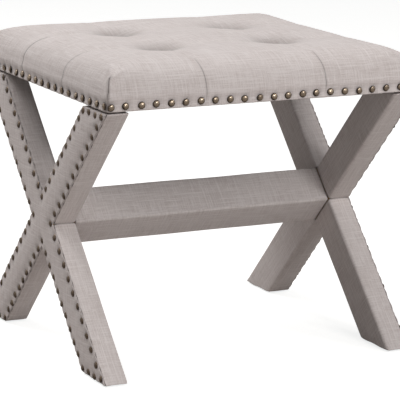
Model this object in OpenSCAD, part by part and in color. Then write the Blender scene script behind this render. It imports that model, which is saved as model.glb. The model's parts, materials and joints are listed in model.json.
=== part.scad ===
// Upholstered bench: a padded, tufted seat on two crossed-arm end frames that a
// diamond-section stretcher ties together. Millimetres, +Z up. The origin lies on
// the floor below the middle of the seat, X runs along the seat and -Y is the front.

/* [Seat] */
// Length of the seat over its cover
seat_length = 508; // [440:1:900]
// Depth of the seat over its cover
seat_depth = 480; // [420:1:600]
// Height of the seat's underside above the floor
underside_height = 400; // [330:1:520]
// Height of the upright side above the underside
side_height = 30; // [29:1:50]
// Rise of the rounded shoulder above the side
shoulder_rise = 34; // [26:1:50]
// Reach of the rounded shoulder in from the side
shoulder_reach = 48; // [36:1:60]
// Rise of the crown above the shoulder
crown_rise = 5; // [1:0.5:12]
// Radius of the seat's corners seen from above
seat_corner = 10; // [8:1:30]

/* [Tufts] */
// Distance between tufts along the seat
tuft_pitch_x = 194; // [120:1:240]
// Distance between tufts across the seat
tuft_pitch_y = 156; // [110:1:220]
// Depth of a tuft below the crown
tuft_depth = 16; // [6:1:18]
// How far a tuft's dimple spreads past its flat bottom
tuft_spread = 21; // [15:1:40]
// Half width of a tuft's flat bottom
tuft_flat = 9; // [8.5:0.5:14]
// Depth of the pleats that run outward from the tufts
pleat_depth = 3; // [0.5:0.5:6]
// Depth of the same pleats where they run down the side
side_pleat_depth = 1.6; // [0.5:0.1:2.2]
// Diameter of a tuft button
button_diameter = 16; // [10:1:16]
// Height of a tuft button
button_height = 5; // [2:0.5:8]
// Diameter of the tufting twine
twine_diameter = 2.6; // [1:0.2:4]

/* [Seat frame] */
// Height of the seat rails
rail_height = 19; // [18:0.5:20.5]
// Thickness of the seat rails
rail_thickness = 15; // [12:1:20]
// Thickness of the plywood deck
deck_thickness = 8; // [6:0.5:9]
// Width of a cleat that the legs bolt to
cleat_width = 45; // [38:1:70]
// Thickness of a cleat that the legs bolt to
cleat_thickness = 12; // [9:0.5:13]
// Leg length of a corner block
corner_block_leg = 22; // [14:1:23]
// Thickness of the dust cover
dust_thickness = 0.8; // [0.5:0.1:1.5]

/* [Border band] */
// Height of the nailed border band
band_height = 16; // [13:1:20]
// Thickness of the nailed border band
band_thickness = 2; // [1:0.1:2.5]
// How far the band stands back from the widest line of the cover
band_inset = 1.5; // [1:0.1:4]

/* [End frames] */
// How far the legs' outer edges stand back from the seat's front and back
leg_setback = 3; // [1:1:40]
// Gap between the legs and the seat
leg_gap = 2.5; // [1:0.5:6]
// Width of an arm's wooden core
arm_width = 56; // [46:1:70]
// Thickness of an arm's wooden core
arm_thickness = 34; // [30:1:50]
// Thickness of the fabric wrapped round an end frame
wrap_thickness = 2; // [1:0.1:4]
// Thickness of the outer fabric panel
panel_thickness = 2; // [1:0.1:4]
// How far the outer panel's edge stands back from the arm's edge
panel_setback = 1; // [0.5:0.1:3]
// Diameter of a foot glide
glide_diameter = 28; // [18:1:34]
// Thickness of a foot glide
glide_thickness = 3; // [2:0.5:6]

/* [Nailheads] */
// Diameter of a nailhead
nail_head = 11; // [8:0.5:11.5]
// Height of a nailhead's dome
nail_dome = 3.2; // [1.5:0.1:5]
// Diameter of a nail's shank
nail_shank = 1.6; // [1:0.1:2.2]
// Length of a nail's shank
nail_length = 7; // [6:0.5:7.5]
// Distance aimed at between nails along the seat's front and back
border_pitch = 23.4; // [16:0.1:40]
// Distance aimed at between nails along the seat's ends
side_border_pitch = 25.5; // [16:0.1:40]
// Distance aimed at between nails of an arm's outer rows
outer_row_pitch = 24.4; // [16:0.1:40]
// Distance aimed at between nails of an arm's inner rows and across its ends
inner_row_pitch = 22.2; // [16:0.1:40]
// Distance of the frame nails from the panel's edge
nail_inset = 6; // [5.5:0.5:12]
// Height of the border nails above the underside
border_nail_height = 8; // [6.5:0.5:9.5]
// Distance of the front and back rows' end nails from the corner
row_end = 8; // [7:0.5:9]
// Distance of the side rows' end nails from the corner
side_row_end = 10.5; // [10.5:0.5:24]

/* [Fasteners] */
// Diameter of the machine bolts
bolt_diameter = 6; // [5:0.5:7]
// Width across flats of a bolt's head
bolt_flats = 10; // [8:0.5:11]
// Height of a bolt's head
bolt_head_height = 4; // [3:0.5:5]
// Diameter of a bolt's washer
washer_diameter = 14; // [12:0.5:14.5]
// Thickness of a bolt's washer
washer_thickness = 1.2; // [0.8:0.1:2]
// Outer diameter of a threaded insert
insert_diameter = 10; // [9:0.5:11]
// Length of a threaded insert
insert_length = 20; // [14:1:24]
// Diameter of a leg spacer
spacer_diameter = 22; // [16:1:26]
// Diameter of the dowels at the crossing
dowel_diameter = 8; // [5:0.5:9]
// Distance of a dowel from the crossing's centre
dowel_offset = 22; // [16:0.5:24]
// Depth of a dowel in the stretcher
dowel_depth = 28; // [16:1:40]
// Length of a deck screw
screw_length = 22; // [16:1:26]
// Diameter of a deck screw
screw_diameter = 3.5; // [3:0.1:4.5]

/* [Hidden] */

// Clearance between fabric and what lies under it
skin_gap = 0.2;
// Clearance round a nail's, screw's or twine's shank, on the radius
shank_gap = 0.2;
// Clearance round a dowel, bolt or insert, on the radius
bore_gap = 0.15;
// Clearance in a wood joint
joint_gap = 0.2;
// How far a cut runs past the solid it cuts
overrun = 1;
// Edge break of a glide
glide_edge = 0.8;
// Depth of the counterbore above a cross bolt's head
head_cover = 1.5;
// Distance of the leg bolts from the arm's inner face
bolt_edge = 9;
// How far a bolt stops short of the far end of its insert
bolt_short = 2;
// How far a dowel stops short of the arm's outer face
dowel_cover = 8;
// Length of a glide's nail
glide_nail_length = 14;
// Diameter of a glide's nail
glide_nail_diameter = 3;
// Diameter of a tuft toggle
toggle_diameter = 20;
// Thickness of a tuft toggle
toggle_thickness = 2;
// Diameter of a twine's knot
knot_diameter = 6;
// Height of a twine's knot
knot_height = 4;
// Diameter of a deck screw's head
screw_head = 7;
// Depth of a deck screw's countersink
screw_head_height = 2.4;
// Distance of the deck screws from the middle of their rail
screw_offset = 130;
// How far the cover's side swells past the seat's length and depth
side_swell = 0.8;
// How far the cover's lower edge is drawn in
lower_draw = 1;
// Smoothness of the round parts
round_steps = 32;
// Smoothness of the nails
nail_steps = 20;

half_x = seat_length / 2;
half_y = seat_depth / 2;
tuft_x = tuft_pitch_x / 2;
tuft_y = tuft_pitch_y / 2;
frame_inset = band_inset + band_thickness + skin_gap;
frame_x = half_x - frame_inset;
frame_y = half_y - frame_inset;
frame_corner = seat_corner - frame_inset;
frame_base = underside_height + dust_thickness;
rail_top = frame_base + rail_height;
deck_top = rail_top + deck_thickness;
band_top = underside_height + band_height;
shoulder_base = underside_height + side_height;

// Legs: the covered outline, the slope of an arm and the crossing's height
leg_spread = seat_depth - 2 * leg_setback;
leg_top = underside_height - leg_gap;
leg_height = leg_top - glide_thickness;
covered_width = arm_width + 2 * (wrap_thickness + skin_gap);
frame_diagonal = norm([leg_spread, leg_height]);
arm_slope = atan2(leg_height, leg_spread) + asin(covered_width / frame_diagonal);
cross_height = glide_thickness + leg_height / 2;
core_depth = panel_thickness + skin_gap;
frame_thickness = core_depth + arm_thickness + skin_gap + wrap_thickness;
arm_end = leg_height / 2 / tan(arm_slope);
bolt_x = half_x - core_depth - arm_thickness + bolt_edge;
stretcher_half = half_x - frame_thickness;

// Tufts: stations of the surface's grid, as shares of a span or angles of the shoulder
span_shares = [0, 0.4, 0.75];
outer_span_share = 0.5;
shoulder_angles = [30, 60, 90];
corner_power = 8;
shoulder_power = 1.75;
dimple_power = 1.25;
side_level_shares = [0.55, 0.2];

// Rectangle with round corners, centred, half its sides given
module rounded_plate(half_width, half_length, radius) {
    square([2 * half_width, 2 * (half_length - radius)], center = true);
    square([2 * (half_width - radius), 2 * half_length], center = true);
    for (x = [-1, 1], y = [-1, 1])
        translate([x * (half_width - radius), y * (half_length - radius)])
            circle(radius, $fn = round_steps);
}

// Copies at the four tufts
module at_tufts() {
    for (x = [-tuft_x, tuft_x], y = [-tuft_y, tuft_y])
        translate([x, y, 0])
            children();
}

// The part of the seat frame's outline between two heights
module frame_body(base, height) {
    translate([0, 0, base])
        linear_extrude(height)
            rounded_plate(frame_x, frame_y, frame_corner);
}

// Places of the deck screws, two in each rail
function screw_places() = [
    for (s = [-1, 1], t = [-1, 1]) [s * screw_offset, t * (frame_y - rail_thickness / 2)],
    for (s = [-1, 1], t = [-1, 1]) [t * (frame_x - rail_thickness / 2), s * screw_offset]
];

// Bores for the deck screws, wider by a gap
module screw_bores() {
    for (p = screw_places())
        translate([p[0], p[1], deck_top - screw_length - overrun])
            cylinder(h = screw_length + 2 * overrun, d = screw_diameter + 2 * shank_gap, $fn = round_steps);
}

module seat_deck() {
    color("burlywood")
        difference() {
            frame_body(rail_top, deck_thickness);
            screw_bores();
            for (p = screw_places())
                translate([p[0], p[1], deck_top - screw_head_height - shank_gap])
                    cylinder(
                        h = screw_head_height + overrun, d = screw_head + 2 * shank_gap,
                        $fn = round_steps
                    );
            at_tufts()
                translate([0, 0, rail_top - overrun])
                    cylinder(
                        h = deck_thickness + 2 * overrun, d = twine_diameter + 2 * shank_gap,
                        $fn = round_steps
                    );
        }
}

// Nail places along a border row, measured from its middle
function row_places(half_row, pitch) =
    let (count = max(1, round(2 * half_row / pitch)))
    [for (k = [0:count]) -half_row + 2 * half_row * k / count];

front_row = row_places(half_x - row_end, border_pitch);
side_row = row_places(half_y - side_row_end, side_border_pitch);

// Places the children on each nail of a long row, the nail pointing along +Y
module at_front_nails() {
    for (x = front_row)
        translate([x, band_inset - half_y, underside_height + border_nail_height])
            rotate([-90, 0, 0])
                children();
}

// Places the children on each nail of a side row, the nail pointing along +X
module at_left_nails() {
    for (y = side_row)
        translate([band_inset - half_x, y, underside_height + border_nail_height])
            rotate([0, 90, 0])
                children();
}

// A nail's bore, which ends just past the shank's point
module nail_bore() {
    translate([0, 0, -overrun])
        cylinder(
            h = nail_length + overrun + shank_gap, d = nail_shank + 2 * shank_gap, $fn = nail_steps
        );
}

// A decorative nail: its dome below z = 0, its shank above
module decorative_nail() {
    dome_radius = (pow(nail_head / 2, 2) + pow(nail_dome, 2)) / (2 * nail_dome);
    dome_angle = asin(nail_head / 2 / dome_radius);
    dome_steps = 2;
    rotate_extrude($fn = nail_steps)
        polygon(concat(
            [[0, nail_length], [nail_shank / 2, nail_length], [nail_shank / 2, 0]],
            [
                for (k = [dome_steps:-1:0])
                    let (a = dome_angle * k / dome_steps)
                    [dome_radius * sin(a), dome_radius - nail_dome - dome_radius * cos(a)]
            ]
        ));
}

// A rail across the seat's front; the back one is its mirror image
module long_rail() {
    color("burlywood")
        difference() {
            intersection() {
                frame_body(frame_base, rail_height);
                translate([-half_x, -half_y, frame_base])
                    cube([seat_length, half_y - frame_y + rail_thickness, rail_height]);
            }
            screw_bores();
            at_front_nails()
                nail_bore();
            for (m = [0, 1])
                mirror([m, 0, 0])
                    at_left_nails()
                        nail_bore();
        }
}

module front_rail() {
    long_rail();
}

module back_rail() {
    mirror([0, 1, 0])
        long_rail();
}

// A rail between the long rails at the seat's left end
module side_rail() {
    color("burlywood")
        difference() {
            translate([-frame_x, rail_thickness + joint_gap - frame_y, frame_base])
                cube([rail_thickness, 2 * (frame_y - rail_thickness - joint_gap), rail_height]);
            screw_bores();
            at_left_nails()
                nail_bore();
        }
}

module left_rail() {
    side_rail();
}

module right_rail() {
    mirror([1, 0, 0])
        side_rail();
}

// A glue block in the front left corner, above the cleat
module corner_block() {
    color("tan")
        translate([
            rail_thickness + joint_gap - frame_x,
            rail_thickness + joint_gap - frame_y,
            frame_base + cleat_thickness
        ])
            linear_extrude(rail_height - cleat_thickness)
                polygon([[0, 0], [corner_block_leg, 0], [0, corner_block_leg]]);
}

module corner_block_front_left() {
    corner_block();
}

module corner_block_front_right() {
    mirror([1, 0, 0])
        corner_block();
}

module corner_block_back_left() {
    mirror([0, 1, 0])
        corner_block();
}

module corner_block_back_right() {
    mirror([1, 0, 0])
        mirror([0, 1, 0])
            corner_block();
}

// Places of the two leg bolts of the left frame, at the middle of each arm's top
module at_left_bolts() {
    for (s = [-1, 1])
        translate([-bolt_x, s * arm_end, 0])
            children();
}

// The cleat inside the left rail, which takes the left frame's bolts
module leg_cleat() {
    color("tan")
        difference() {
            translate([
                rail_thickness + joint_gap - frame_x,
                rail_thickness + joint_gap - frame_y,
                frame_base
            ])
                cube([cleat_width, 2 * (frame_y - rail_thickness - joint_gap), cleat_thickness]);
            at_left_bolts()
                translate([0, 0, frame_base - overrun])
                    cylinder(
                        h = cleat_thickness + 2 * overrun, d = bolt_diameter + 2 * bore_gap,
                        $fn = round_steps
                    );
        }
}

module left_leg_cleat() {
    leg_cleat();
}

module right_leg_cleat() {
    mirror([1, 0, 0])
        leg_cleat();
}

// Stations of the cushion's grid along one half axis: to the tuft, past it, to the
// shoulder and round it; each is a distance from the middle and the shoulder's sine
function half_stations(half, tuft, inset) = concat(
    [for (s = span_shares) [s * tuft, 0]],
    [[tuft - tuft_flat, 0], [tuft, 0], [tuft + tuft_flat, 0]],
    [[tuft + tuft_flat + outer_span_share * (half - shoulder_reach - tuft - tuft_flat), 0]],
    [[half - shoulder_reach, 0]],
    [
        for (a = shoulder_angles)
            [half - shoulder_reach + (shoulder_reach - inset) * sin(a), sin(a)]
    ]
);

// Stations along the whole axis, the negative half mirrored
function stations(half, tuft, inset) =
    let (right = half_stations(half, tuft, inset))
    concat(
        [for (k = [len(right) - 1:-1:1]) [-right[k][0], right[k][1]]],
        right
    );

// Index of the last station, and how many stations a tuft lies from the middle one
last = 2 * (len(half_stations(half_x, tuft_x, 0)) - 1);
tuft_step = len(span_shares) + 1;

// Turns the square corner of the outline into a round one
function round_corner(x, y, inset) =
    let (
        cx = half_x - seat_corner,
        cy = half_y - seat_corner,
        r = seat_corner - inset,
        ax = (abs(x) - cx) / r,
        ay = (abs(y) - cy) / r
    )
    ax > 0 && ay > 0
        ? let (f = max(ax, ay) / norm([ax, ay]))
            [sign(x) * (cx + ax * f * r), sign(y) * (cy + ay * f * r)]
        : [x, y];

// A place of the grid seen from above
function plan_point(i, j, inset) =
    let (
        x = stations(half_x, tuft_x, inset)[i][0],
        y = stations(half_y, tuft_y, inset)[j][0]
    )
    round_corner(x, y, inset);

// How much a tuft draws a place down, from 0 to 1
function dimple(x, y) =
    let (
        away = norm([abs(x) - tuft_x, abs(y) - tuft_y]),
        past = max(0, away - tuft_flat * sqrt(2))
    )
    exp(-pow(past / tuft_spread, dimple_power));

// How much of a pleat crosses a grid place: the lines that run from the tufts outward
function on_pleat(i, j) =
    let (
        from_x = abs(i - last / 2) - tuft_step,
        from_y = abs(j - last / 2) - tuft_step
    )
    (from_x == 0 && from_y > 0) || (from_y == 0 && from_x > 0) ? 1 : 0;

// A coordinate for the crown, which is level across a tuft's flat bottom
function level_at(v, tuft) = abs(abs(v) - tuft) <= tuft_flat ? tuft : v;

// A point of the cushion's top, inset evenly from the outer face
function top_point(i, j, inset, edge_groove) =
    let (
        sx = stations(half_x, tuft_x, inset)[i],
        sy = stations(half_y, tuft_y, inset)[j],
        p = plan_point(i, j, inset + edge_groove * on_pleat(i, j)),
        turn = min(1, pow(pow(sx[1], corner_power) + pow(sy[1], corner_power), 1 / corner_power)),
        rise = pow(1 - pow(turn, shoulder_power), 1 / shoulder_power),
        along = level_at(p[0], tuft_x) / half_x,
        across = level_at(p[1], tuft_y) / half_y,
        crown = crown_rise * (1 - along * along) * (1 - across * across),
        near = dimple(p[0], p[1]),
        drop = tuft_depth * near + pleat_depth * on_pleat(i, j) * (1 - near)
    )
    [p[0], p[1], shoulder_base + rise * (shoulder_rise - inset + crown - drop)];

// Grid places round the edge, anticlockwise seen from above
edge_loop = concat(
    [for (i = [0:last - 1]) [i, 0]],
    [for (j = [0:last - 1]) [last, j]],
    [for (i = [last:-1:1]) [i, last]],
    [for (j = [last:-1:1]) [0, j]]
);

function top_grid(inset, edge_groove) = [
    for (j = [0:last], i = [0:last]) top_point(i, j, inset, edge_groove)
];

// A ring of the side at one height, its pleats cut in
function side_ring(inset, z, groove) = [
    for (e = edge_loop)
        let (p = plan_point(e[0], e[1], inset + groove * on_pleat(e[0], e[1])))
        [p[0], p[1], z]
];

// Triangles of the top grid, whose points start at an index; flipped looks down
function grid_faces(start, flipped) = [
    for (j = [0:last - 1], i = [0:last - 1])
        let (
            a = start + j * (last + 1) + i,
            b = a + 1,
            c = a + last + 2,
            d = a + last + 1
        )
        for (t = (i < last / 2) == (j < last / 2) ? [[a, d, c], [a, c, b]] : [[a, d, b], [b, d, c]])
            flipped ? [t[2], t[1], t[0]] : t
];

function edge_indices(start) = [for (e = edge_loop) start + e[1] * (last + 1) + e[0]];
function ring_indices(start) = [for (k = [0:len(edge_loop) - 1]) start + k];

// Triangles between an upper and a lower ring; flipped looks inward
function band_faces(upper, lower, flipped) = [
    for (k = [0:len(upper) - 1])
        let (
            n = (k + 1) % len(upper)
        )
        for (t = [[upper[k], upper[n], lower[n]], [upper[k], lower[n], lower[k]]])
            flipped ? [t[2], t[1], t[0]] : t
];

// The foam: the cover's shape, inset, flat on the deck
module seat_foam() {
    inset = frame_inset;
    grid_size = (last + 1) * (last + 1);
    color("khaki")
        difference() {
            polyhedron(
                points = concat(top_grid(inset, 0), side_ring(inset, deck_top, 0)),
                faces = concat(
                    grid_faces(0, false),
                    band_faces(edge_indices(0), ring_indices(grid_size), false),
                    [[for (k = [0:len(edge_loop) - 1]) grid_size + k]]
                ),
                convexity = 6
            );
            twine_bores();
        }
}

// Bores for the twines through foam and cover
module twine_bores() {
    at_tufts()
        translate([0, 0, deck_top - overrun])
            cylinder(h = seat_depth, d = twine_diameter + 2 * shank_gap, $fn = round_steps);
}

// The tufted cover: a shell open below, which ends on the border band
module seat_cover() {
    inner = frame_inset - skin_gap;
    lower = band_top + skin_gap;
    grid_size = (last + 1) * (last + 1);
    ring_size = len(edge_loop);
    side_span = shoulder_base - lower;
    outer_grid = 0;
    ring_a = grid_size;
    ring_b = ring_a + ring_size;
    ring_c = ring_b + ring_size;
    inner_ring = ring_c + ring_size;
    inner_grid = inner_ring + ring_size;
    color("silver")
        difference() {
            polyhedron(
                points = concat(
                    top_grid(0, side_pleat_depth),
                    side_ring(-side_swell, lower + side_level_shares[0] * side_span, side_pleat_depth),
                    side_ring(0, lower + side_level_shares[1] * side_span, side_pleat_depth),
                    side_ring(lower_draw, lower, 0),
                    side_ring(inner, lower, 0),
                    top_grid(inner, 0)
                ),
                faces = concat(
                    grid_faces(outer_grid, false),
                    band_faces(edge_indices(outer_grid), ring_indices(ring_a), false),
                    band_faces(ring_indices(ring_a), ring_indices(ring_b), false),
                    band_faces(ring_indices(ring_b), ring_indices(ring_c), false),
                    band_faces(ring_indices(ring_c), ring_indices(inner_ring), false),
                    band_faces(edge_indices(inner_grid), ring_indices(inner_ring), true),
                    grid_faces(inner_grid, true)
                ),
                convexity = 8
            );
            twine_bores();
        }
}

// The nailed band round the seat's lower edge
module border_band() {
    inner = band_inset + band_thickness;
    color("silver")
        difference() {
            translate([0, 0, underside_height])
                linear_extrude(band_height)
                    difference() {
                        rounded_plate(half_x - band_inset, half_y - band_inset, seat_corner - band_inset);
                        rounded_plate(half_x - inner, half_y - inner, seat_corner - inner);
                    }
            for (m = [0, 1])
                mirror([0, m, 0])
                    at_front_nails()
                        nail_bore();
            for (m = [0, 1])
                mirror([m, 0, 0])
                    at_left_nails()
                        nail_bore();
        }
}

// Height of a tuft's flat bottom on the cover
tuft_floor = top_point(last / 2 + tuft_step, last / 2 + tuft_step, 0, 0)[2];

module tuft_buttons() {
    button_radius = (pow(button_diameter / 2, 2) + pow(button_height, 2)) / (2 * button_height);
    button_angle = asin(button_diameter / 2 / button_radius);
    button_steps = 5;
    color("silver")
        at_tufts()
            translate([0, 0, tuft_floor + skin_gap])
                rotate_extrude($fn = round_steps)
                    polygon(concat(
                        [[0, 0]],
                        [
                            for (k = [button_steps:-1:0])
                                let (a = button_angle * k / button_steps)
                                [
                                    button_radius * sin(a),
                                    button_height - button_radius + button_radius * cos(a)
                                ]
                        ]
                    ));
}

// Twine from each button down through foam and deck, knotted below its toggle
module tuft_twines() {
    knot_top = rail_top - toggle_thickness;
    color("ivory")
        at_tufts() {
            translate([0, 0, knot_top])
                cylinder(h = tuft_floor + skin_gap - knot_top, d = twine_diameter, $fn = round_steps);
            translate([0, 0, knot_top - knot_height])
                cylinder(h = knot_height, d = knot_diameter, $fn = round_steps);
        }
}

module tuft_toggles() {
    color("dimgray")
        at_tufts()
            translate([0, 0, rail_top - toggle_thickness])
                difference() {
                    cylinder(h = toggle_thickness, d = toggle_diameter, $fn = round_steps);
                    translate([0, 0, -overrun])
                        cylinder(
                            h = toggle_thickness + 2 * overrun, d = twine_diameter + 2 * shank_gap,
                            $fn = round_steps
                        );
                }
}

module deck_screws() {
    color("gray")
        for (p = screw_places())
            translate([p[0], p[1], deck_top])
                rotate_extrude($fn = round_steps)
                    polygon([
                        [0, 0],
                        [screw_head / 2, 0],
                        [screw_diameter / 2, -screw_head_height],
                        [screw_diameter / 2, screw_diameter - screw_length],
                        [0, -screw_length]
                    ]);
}

module dust_cover() {
    color("black")
        difference() {
            translate([0, 0, underside_height])
                linear_extrude(dust_thickness)
                    rounded_plate(frame_x, frame_y, frame_corner);
            for (m = [0, 1])
                mirror([m, 0, 0])
                    at_left_bolts()
                        translate([0, 0, underside_height - overrun])
                            cylinder(
                                h = dust_thickness + 2 * overrun, d = bolt_diameter + 2 * bore_gap,
                                $fn = round_steps
                            );
        }
}

module front_border_nails() {
    color("darkgoldenrod")
        at_front_nails()
            decorative_nail();
}

module back_border_nails() {
    mirror([0, 1, 0])
        front_border_nails();
}

module left_border_nails() {
    color("darkgoldenrod")
        at_left_nails()
            decorative_nail();
}

module right_border_nails() {
    mirror([1, 0, 0])
        left_border_nails();
}

// A hexagon-headed bolt along +Z, its head's underside at z = 0 and its shank below
module hex_bolt(shank) {
    cylinder(h = bolt_head_height, d = bolt_flats / cos(30), $fn = 6);
    translate([0, 0, -shank])
        cylinder(h = shank, d = bolt_diameter, $fn = round_steps);
}

// A flat ring, its underside at z = 0
module flat_ring(outer, thickness) {
    difference() {
        cylinder(h = thickness, d = outer, $fn = round_steps);
        translate([0, 0, -overrun])
            cylinder(h = thickness + 2 * overrun, d = bolt_diameter + 2 * bore_gap, $fn = round_steps);
    }
}

module left_leg_bolts() {
    seat = frame_base + cleat_thickness + washer_thickness;
    color("silver")
        at_left_bolts()
            translate([0, 0, seat])
                hex_bolt(seat - leg_top + insert_length - bolt_short);
}

module right_leg_bolts() {
    mirror([1, 0, 0])
        left_leg_bolts();
}

module left_bolt_washers() {
    color("gray")
        at_left_bolts()
            translate([0, 0, frame_base + cleat_thickness])
                flat_ring(washer_diameter, washer_thickness);
}

module right_bolt_washers() {
    mirror([1, 0, 0])
        left_bolt_washers();
}

// Spacers between the arms' tops and the seat
module left_leg_spacers() {
    color("dimgray")
        at_left_bolts()
            translate([0, 0, leg_top])
                flat_ring(spacer_diameter, leg_gap);
}

module right_leg_spacers() {
    mirror([1, 0, 0])
        left_leg_spacers();
}

module left_leg_inserts() {
    color("goldenrod")
        at_left_bolts()
            translate([0, 0, leg_top - insert_length])
                flat_ring(insert_diameter, insert_length);
}

module right_leg_inserts() {
    mirror([1, 0, 0])
        left_leg_inserts();
}

// A slab of the left frame: its outline in Y and Z, its depth in from the outer face
module frame_slab(depth, thickness) {
    translate([depth - half_x, 0, cross_height])
        rotate([90, 0, 90])
            linear_extrude(thickness)
                children();
}

// A bore of the left frame along X, at a place in Y and Z from the crossing
module frame_bore(place, depth, length, diameter) {
    translate([depth - half_x, place[0], cross_height + place[1]])
        rotate([0, 90, 0])
            cylinder(h = length, d = diameter, $fn = round_steps);
}

// Outline of an arm about the crossing; lean is 1 where its top is at the front
module arm_outline(width, lean, extra) {
    half_cut = width / 2 / sin(arm_slope);
    half_run = arm_end + extra / tan(arm_slope);
    half_rise = leg_height / 2 + extra;
    polygon([
        [lean * half_run - half_cut, -half_rise],
        [lean * half_run + half_cut, -half_rise],
        [-lean * half_run + half_cut, half_rise],
        [-lean * half_run - half_cut, half_rise]
    ]);
}

// Outline of both arms
module cross_outline(width, extra) {
    arm_outline(width, 1, extra);
    arm_outline(width, -1, extra);
}

// Nail rows of a frame: their distance from an arm's middle line, and where they end
row_offset = covered_width / 2 - panel_setback - nail_inset;
row_rise = leg_height / 2 - nail_inset;

// Even places from one length to another, the first left out
function places_after(first, final, pitch) =
    let (count = max(1, round((final - first) / pitch)))
    [for (k = [1:count]) first + (final - first) * k / count];

// A nail place on a quarter of the frame: so far along the arm, so far off its middle
function quarter_place(front, upper, along, off) = [
    front * (along * cos(arm_slope) + off * sin(arm_slope)),
    upper * (along * sin(arm_slope) - off * cos(arm_slope))
];

// All nail places of a frame about the crossing
function frame_places() = concat(
    [for (s = [-1, 1]) [s * row_offset / sin(arm_slope), 0]],
    [for (s = [-1, 1]) [0, s * row_offset / cos(arm_slope)]],
    [
        for (front = [-1, 1], upper = [-1, 1])
            let (
                outer_start = row_offset / tan(arm_slope),
                inner_start = row_offset * tan(arm_slope),
                outer_end = (row_rise + row_offset * cos(arm_slope)) / sin(arm_slope),
                inner_end = (row_rise - row_offset * cos(arm_slope)) / sin(arm_slope),
                end_outer = quarter_place(front, upper, outer_end, row_offset),
                end_inner = quarter_place(front, upper, inner_end, -row_offset),
                end_width = norm(end_outer - end_inner)
            )
            each concat(
                [
                    for (t = places_after(outer_start, outer_end, outer_row_pitch))
                        quarter_place(front, upper, t, row_offset)
                ],
                [
                    for (t = places_after(inner_start, inner_end, inner_row_pitch))
                        quarter_place(front, upper, t, -row_offset)
                ],
                [
                    for (t = places_after(0, end_width, inner_row_pitch))
                        if (t < end_width - overrun)
                            end_outer + (end_inner - end_outer) * t / end_width
                ]
            )
    ]
);

// Bores for the frame's nails through the panel and into the arms
module frame_nail_bores() {
    frame_slab(-overrun, nail_length + overrun + shank_gap)
        for (p = frame_places())
            translate(p)
                circle(d = nail_shank + 2 * shank_gap, $fn = nail_steps);
}

// Places of the two dowels from the crossing
function dowel_places() = [[0, dowel_offset], [0, -dowel_offset]];

// Bores shared by both arms: leg inserts, glide nails, cross bolt and dowels
module arm_bores() {
    at_left_bolts()
        translate([0, 0, leg_top - insert_length - skin_gap])
            cylinder(
                h = insert_length + overrun, d = insert_diameter + 2 * bore_gap, $fn = round_steps
            );
    at_left_glides()
        translate([0, 0, glide_thickness - overrun])
            cylinder(
                h = glide_nail_length + 2 * overrun, d = glide_nail_diameter + 2 * shank_gap,
                $fn = round_steps
            );
    frame_bore([0, 0], -overrun, frame_thickness + 2 * overrun, bolt_diameter + 2 * bore_gap);
    for (p = dowel_places())
        frame_bore(
            p, core_depth + dowel_cover - skin_gap, frame_thickness, dowel_diameter + 2 * bore_gap
        );
}

// One arm's core, halved where the other crosses it
module arm_core(lean, lap_depth) {
    color("burlywood")
        difference() {
            frame_slab(core_depth, arm_thickness)
                arm_outline(arm_width, lean, 0);
            frame_slab(lap_depth, arm_thickness / 2 + joint_gap / 2 + overrun)
                arm_outline(arm_width + 2 * joint_gap, -lean, overrun);
            arm_bores();
            frame_nail_bores();
            frame_bore(
                [0, 0], core_depth - overrun,
                overrun + head_cover + bolt_head_height + washer_thickness,
                washer_diameter + 2 * joint_gap
            );
        }
}

// The arm from the top at the front to the foot at the back; it laps outside
module left_falling_arm() {
    arm_core(1, core_depth + arm_thickness / 2 - joint_gap / 2);
}

module right_falling_arm() {
    mirror([1, 0, 0])
        left_falling_arm();
}

// The arm from the top at the back to the foot at the front; it laps inside
module left_rising_arm() {
    arm_core(-1, core_depth - overrun);
}

module right_rising_arm() {
    mirror([1, 0, 0])
        left_rising_arm();
}

// Fabric over the arms' edges and inner faces, open at the feet and tops
module left_frame_wrap() {
    color("silver")
        difference() {
            frame_slab(core_depth, frame_thickness - core_depth)
                cross_outline(covered_width, 0);
            frame_slab(core_depth - overrun, arm_thickness + skin_gap + overrun)
                cross_outline(arm_width + 2 * skin_gap, overrun);
            frame_bore([0, 0], 0, frame_thickness + overrun, bolt_diameter + 2 * bore_gap);
            for (p = dowel_places())
                frame_bore(p, 0, frame_thickness + overrun, dowel_diameter + 2 * bore_gap);
        }
}

module right_frame_wrap() {
    mirror([1, 0, 0])
        left_frame_wrap();
}

// The nailed fabric panel on the frame's outer face
module left_outer_panel() {
    color("lightgray")
        frame_slab(0, panel_thickness)
            difference() {
                cross_outline(covered_width - 2 * panel_setback, 0);
                for (p = frame_places())
                    translate(p)
                        circle(d = nail_shank + 2 * shank_gap, $fn = nail_steps);
            }
}

module right_outer_panel() {
    mirror([1, 0, 0])
        left_outer_panel();
}

module left_frame_nails() {
    color("darkgoldenrod")
        for (p = frame_places())
            translate([-half_x, p[0], cross_height + p[1]])
                rotate([0, 90, 0])
                    decorative_nail();
}

module right_frame_nails() {
    mirror([1, 0, 0])
        left_frame_nails();
}

// The bolt through the crossing into the stretcher, its head under the panel
module left_cross_bolt() {
    seat = core_depth + head_cover + bolt_head_height + washer_thickness;
    color("silver")
        translate([seat - washer_thickness - half_x, 0, cross_height])
            rotate([0, -90, 0])
                hex_bolt(frame_thickness + joint_gap + insert_length - bolt_short - seat + washer_thickness);
}

module right_cross_bolt() {
    mirror([1, 0, 0])
        left_cross_bolt();
}

module left_cross_washer() {
    color("gray")
        translate([core_depth + head_cover + bolt_head_height - half_x, 0, cross_height])
            rotate([0, 90, 0])
                flat_ring(washer_diameter, washer_thickness);
}

module right_cross_washer() {
    mirror([1, 0, 0])
        left_cross_washer();
}

module left_cross_dowels() {
    color("wheat")
        for (p = dowel_places())
            frame_bore(
                p, core_depth + dowel_cover,
                frame_thickness + joint_gap + dowel_depth - core_depth - dowel_cover, dowel_diameter
            );
}

module right_cross_dowels() {
    mirror([1, 0, 0])
        left_cross_dowels();
}

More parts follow.
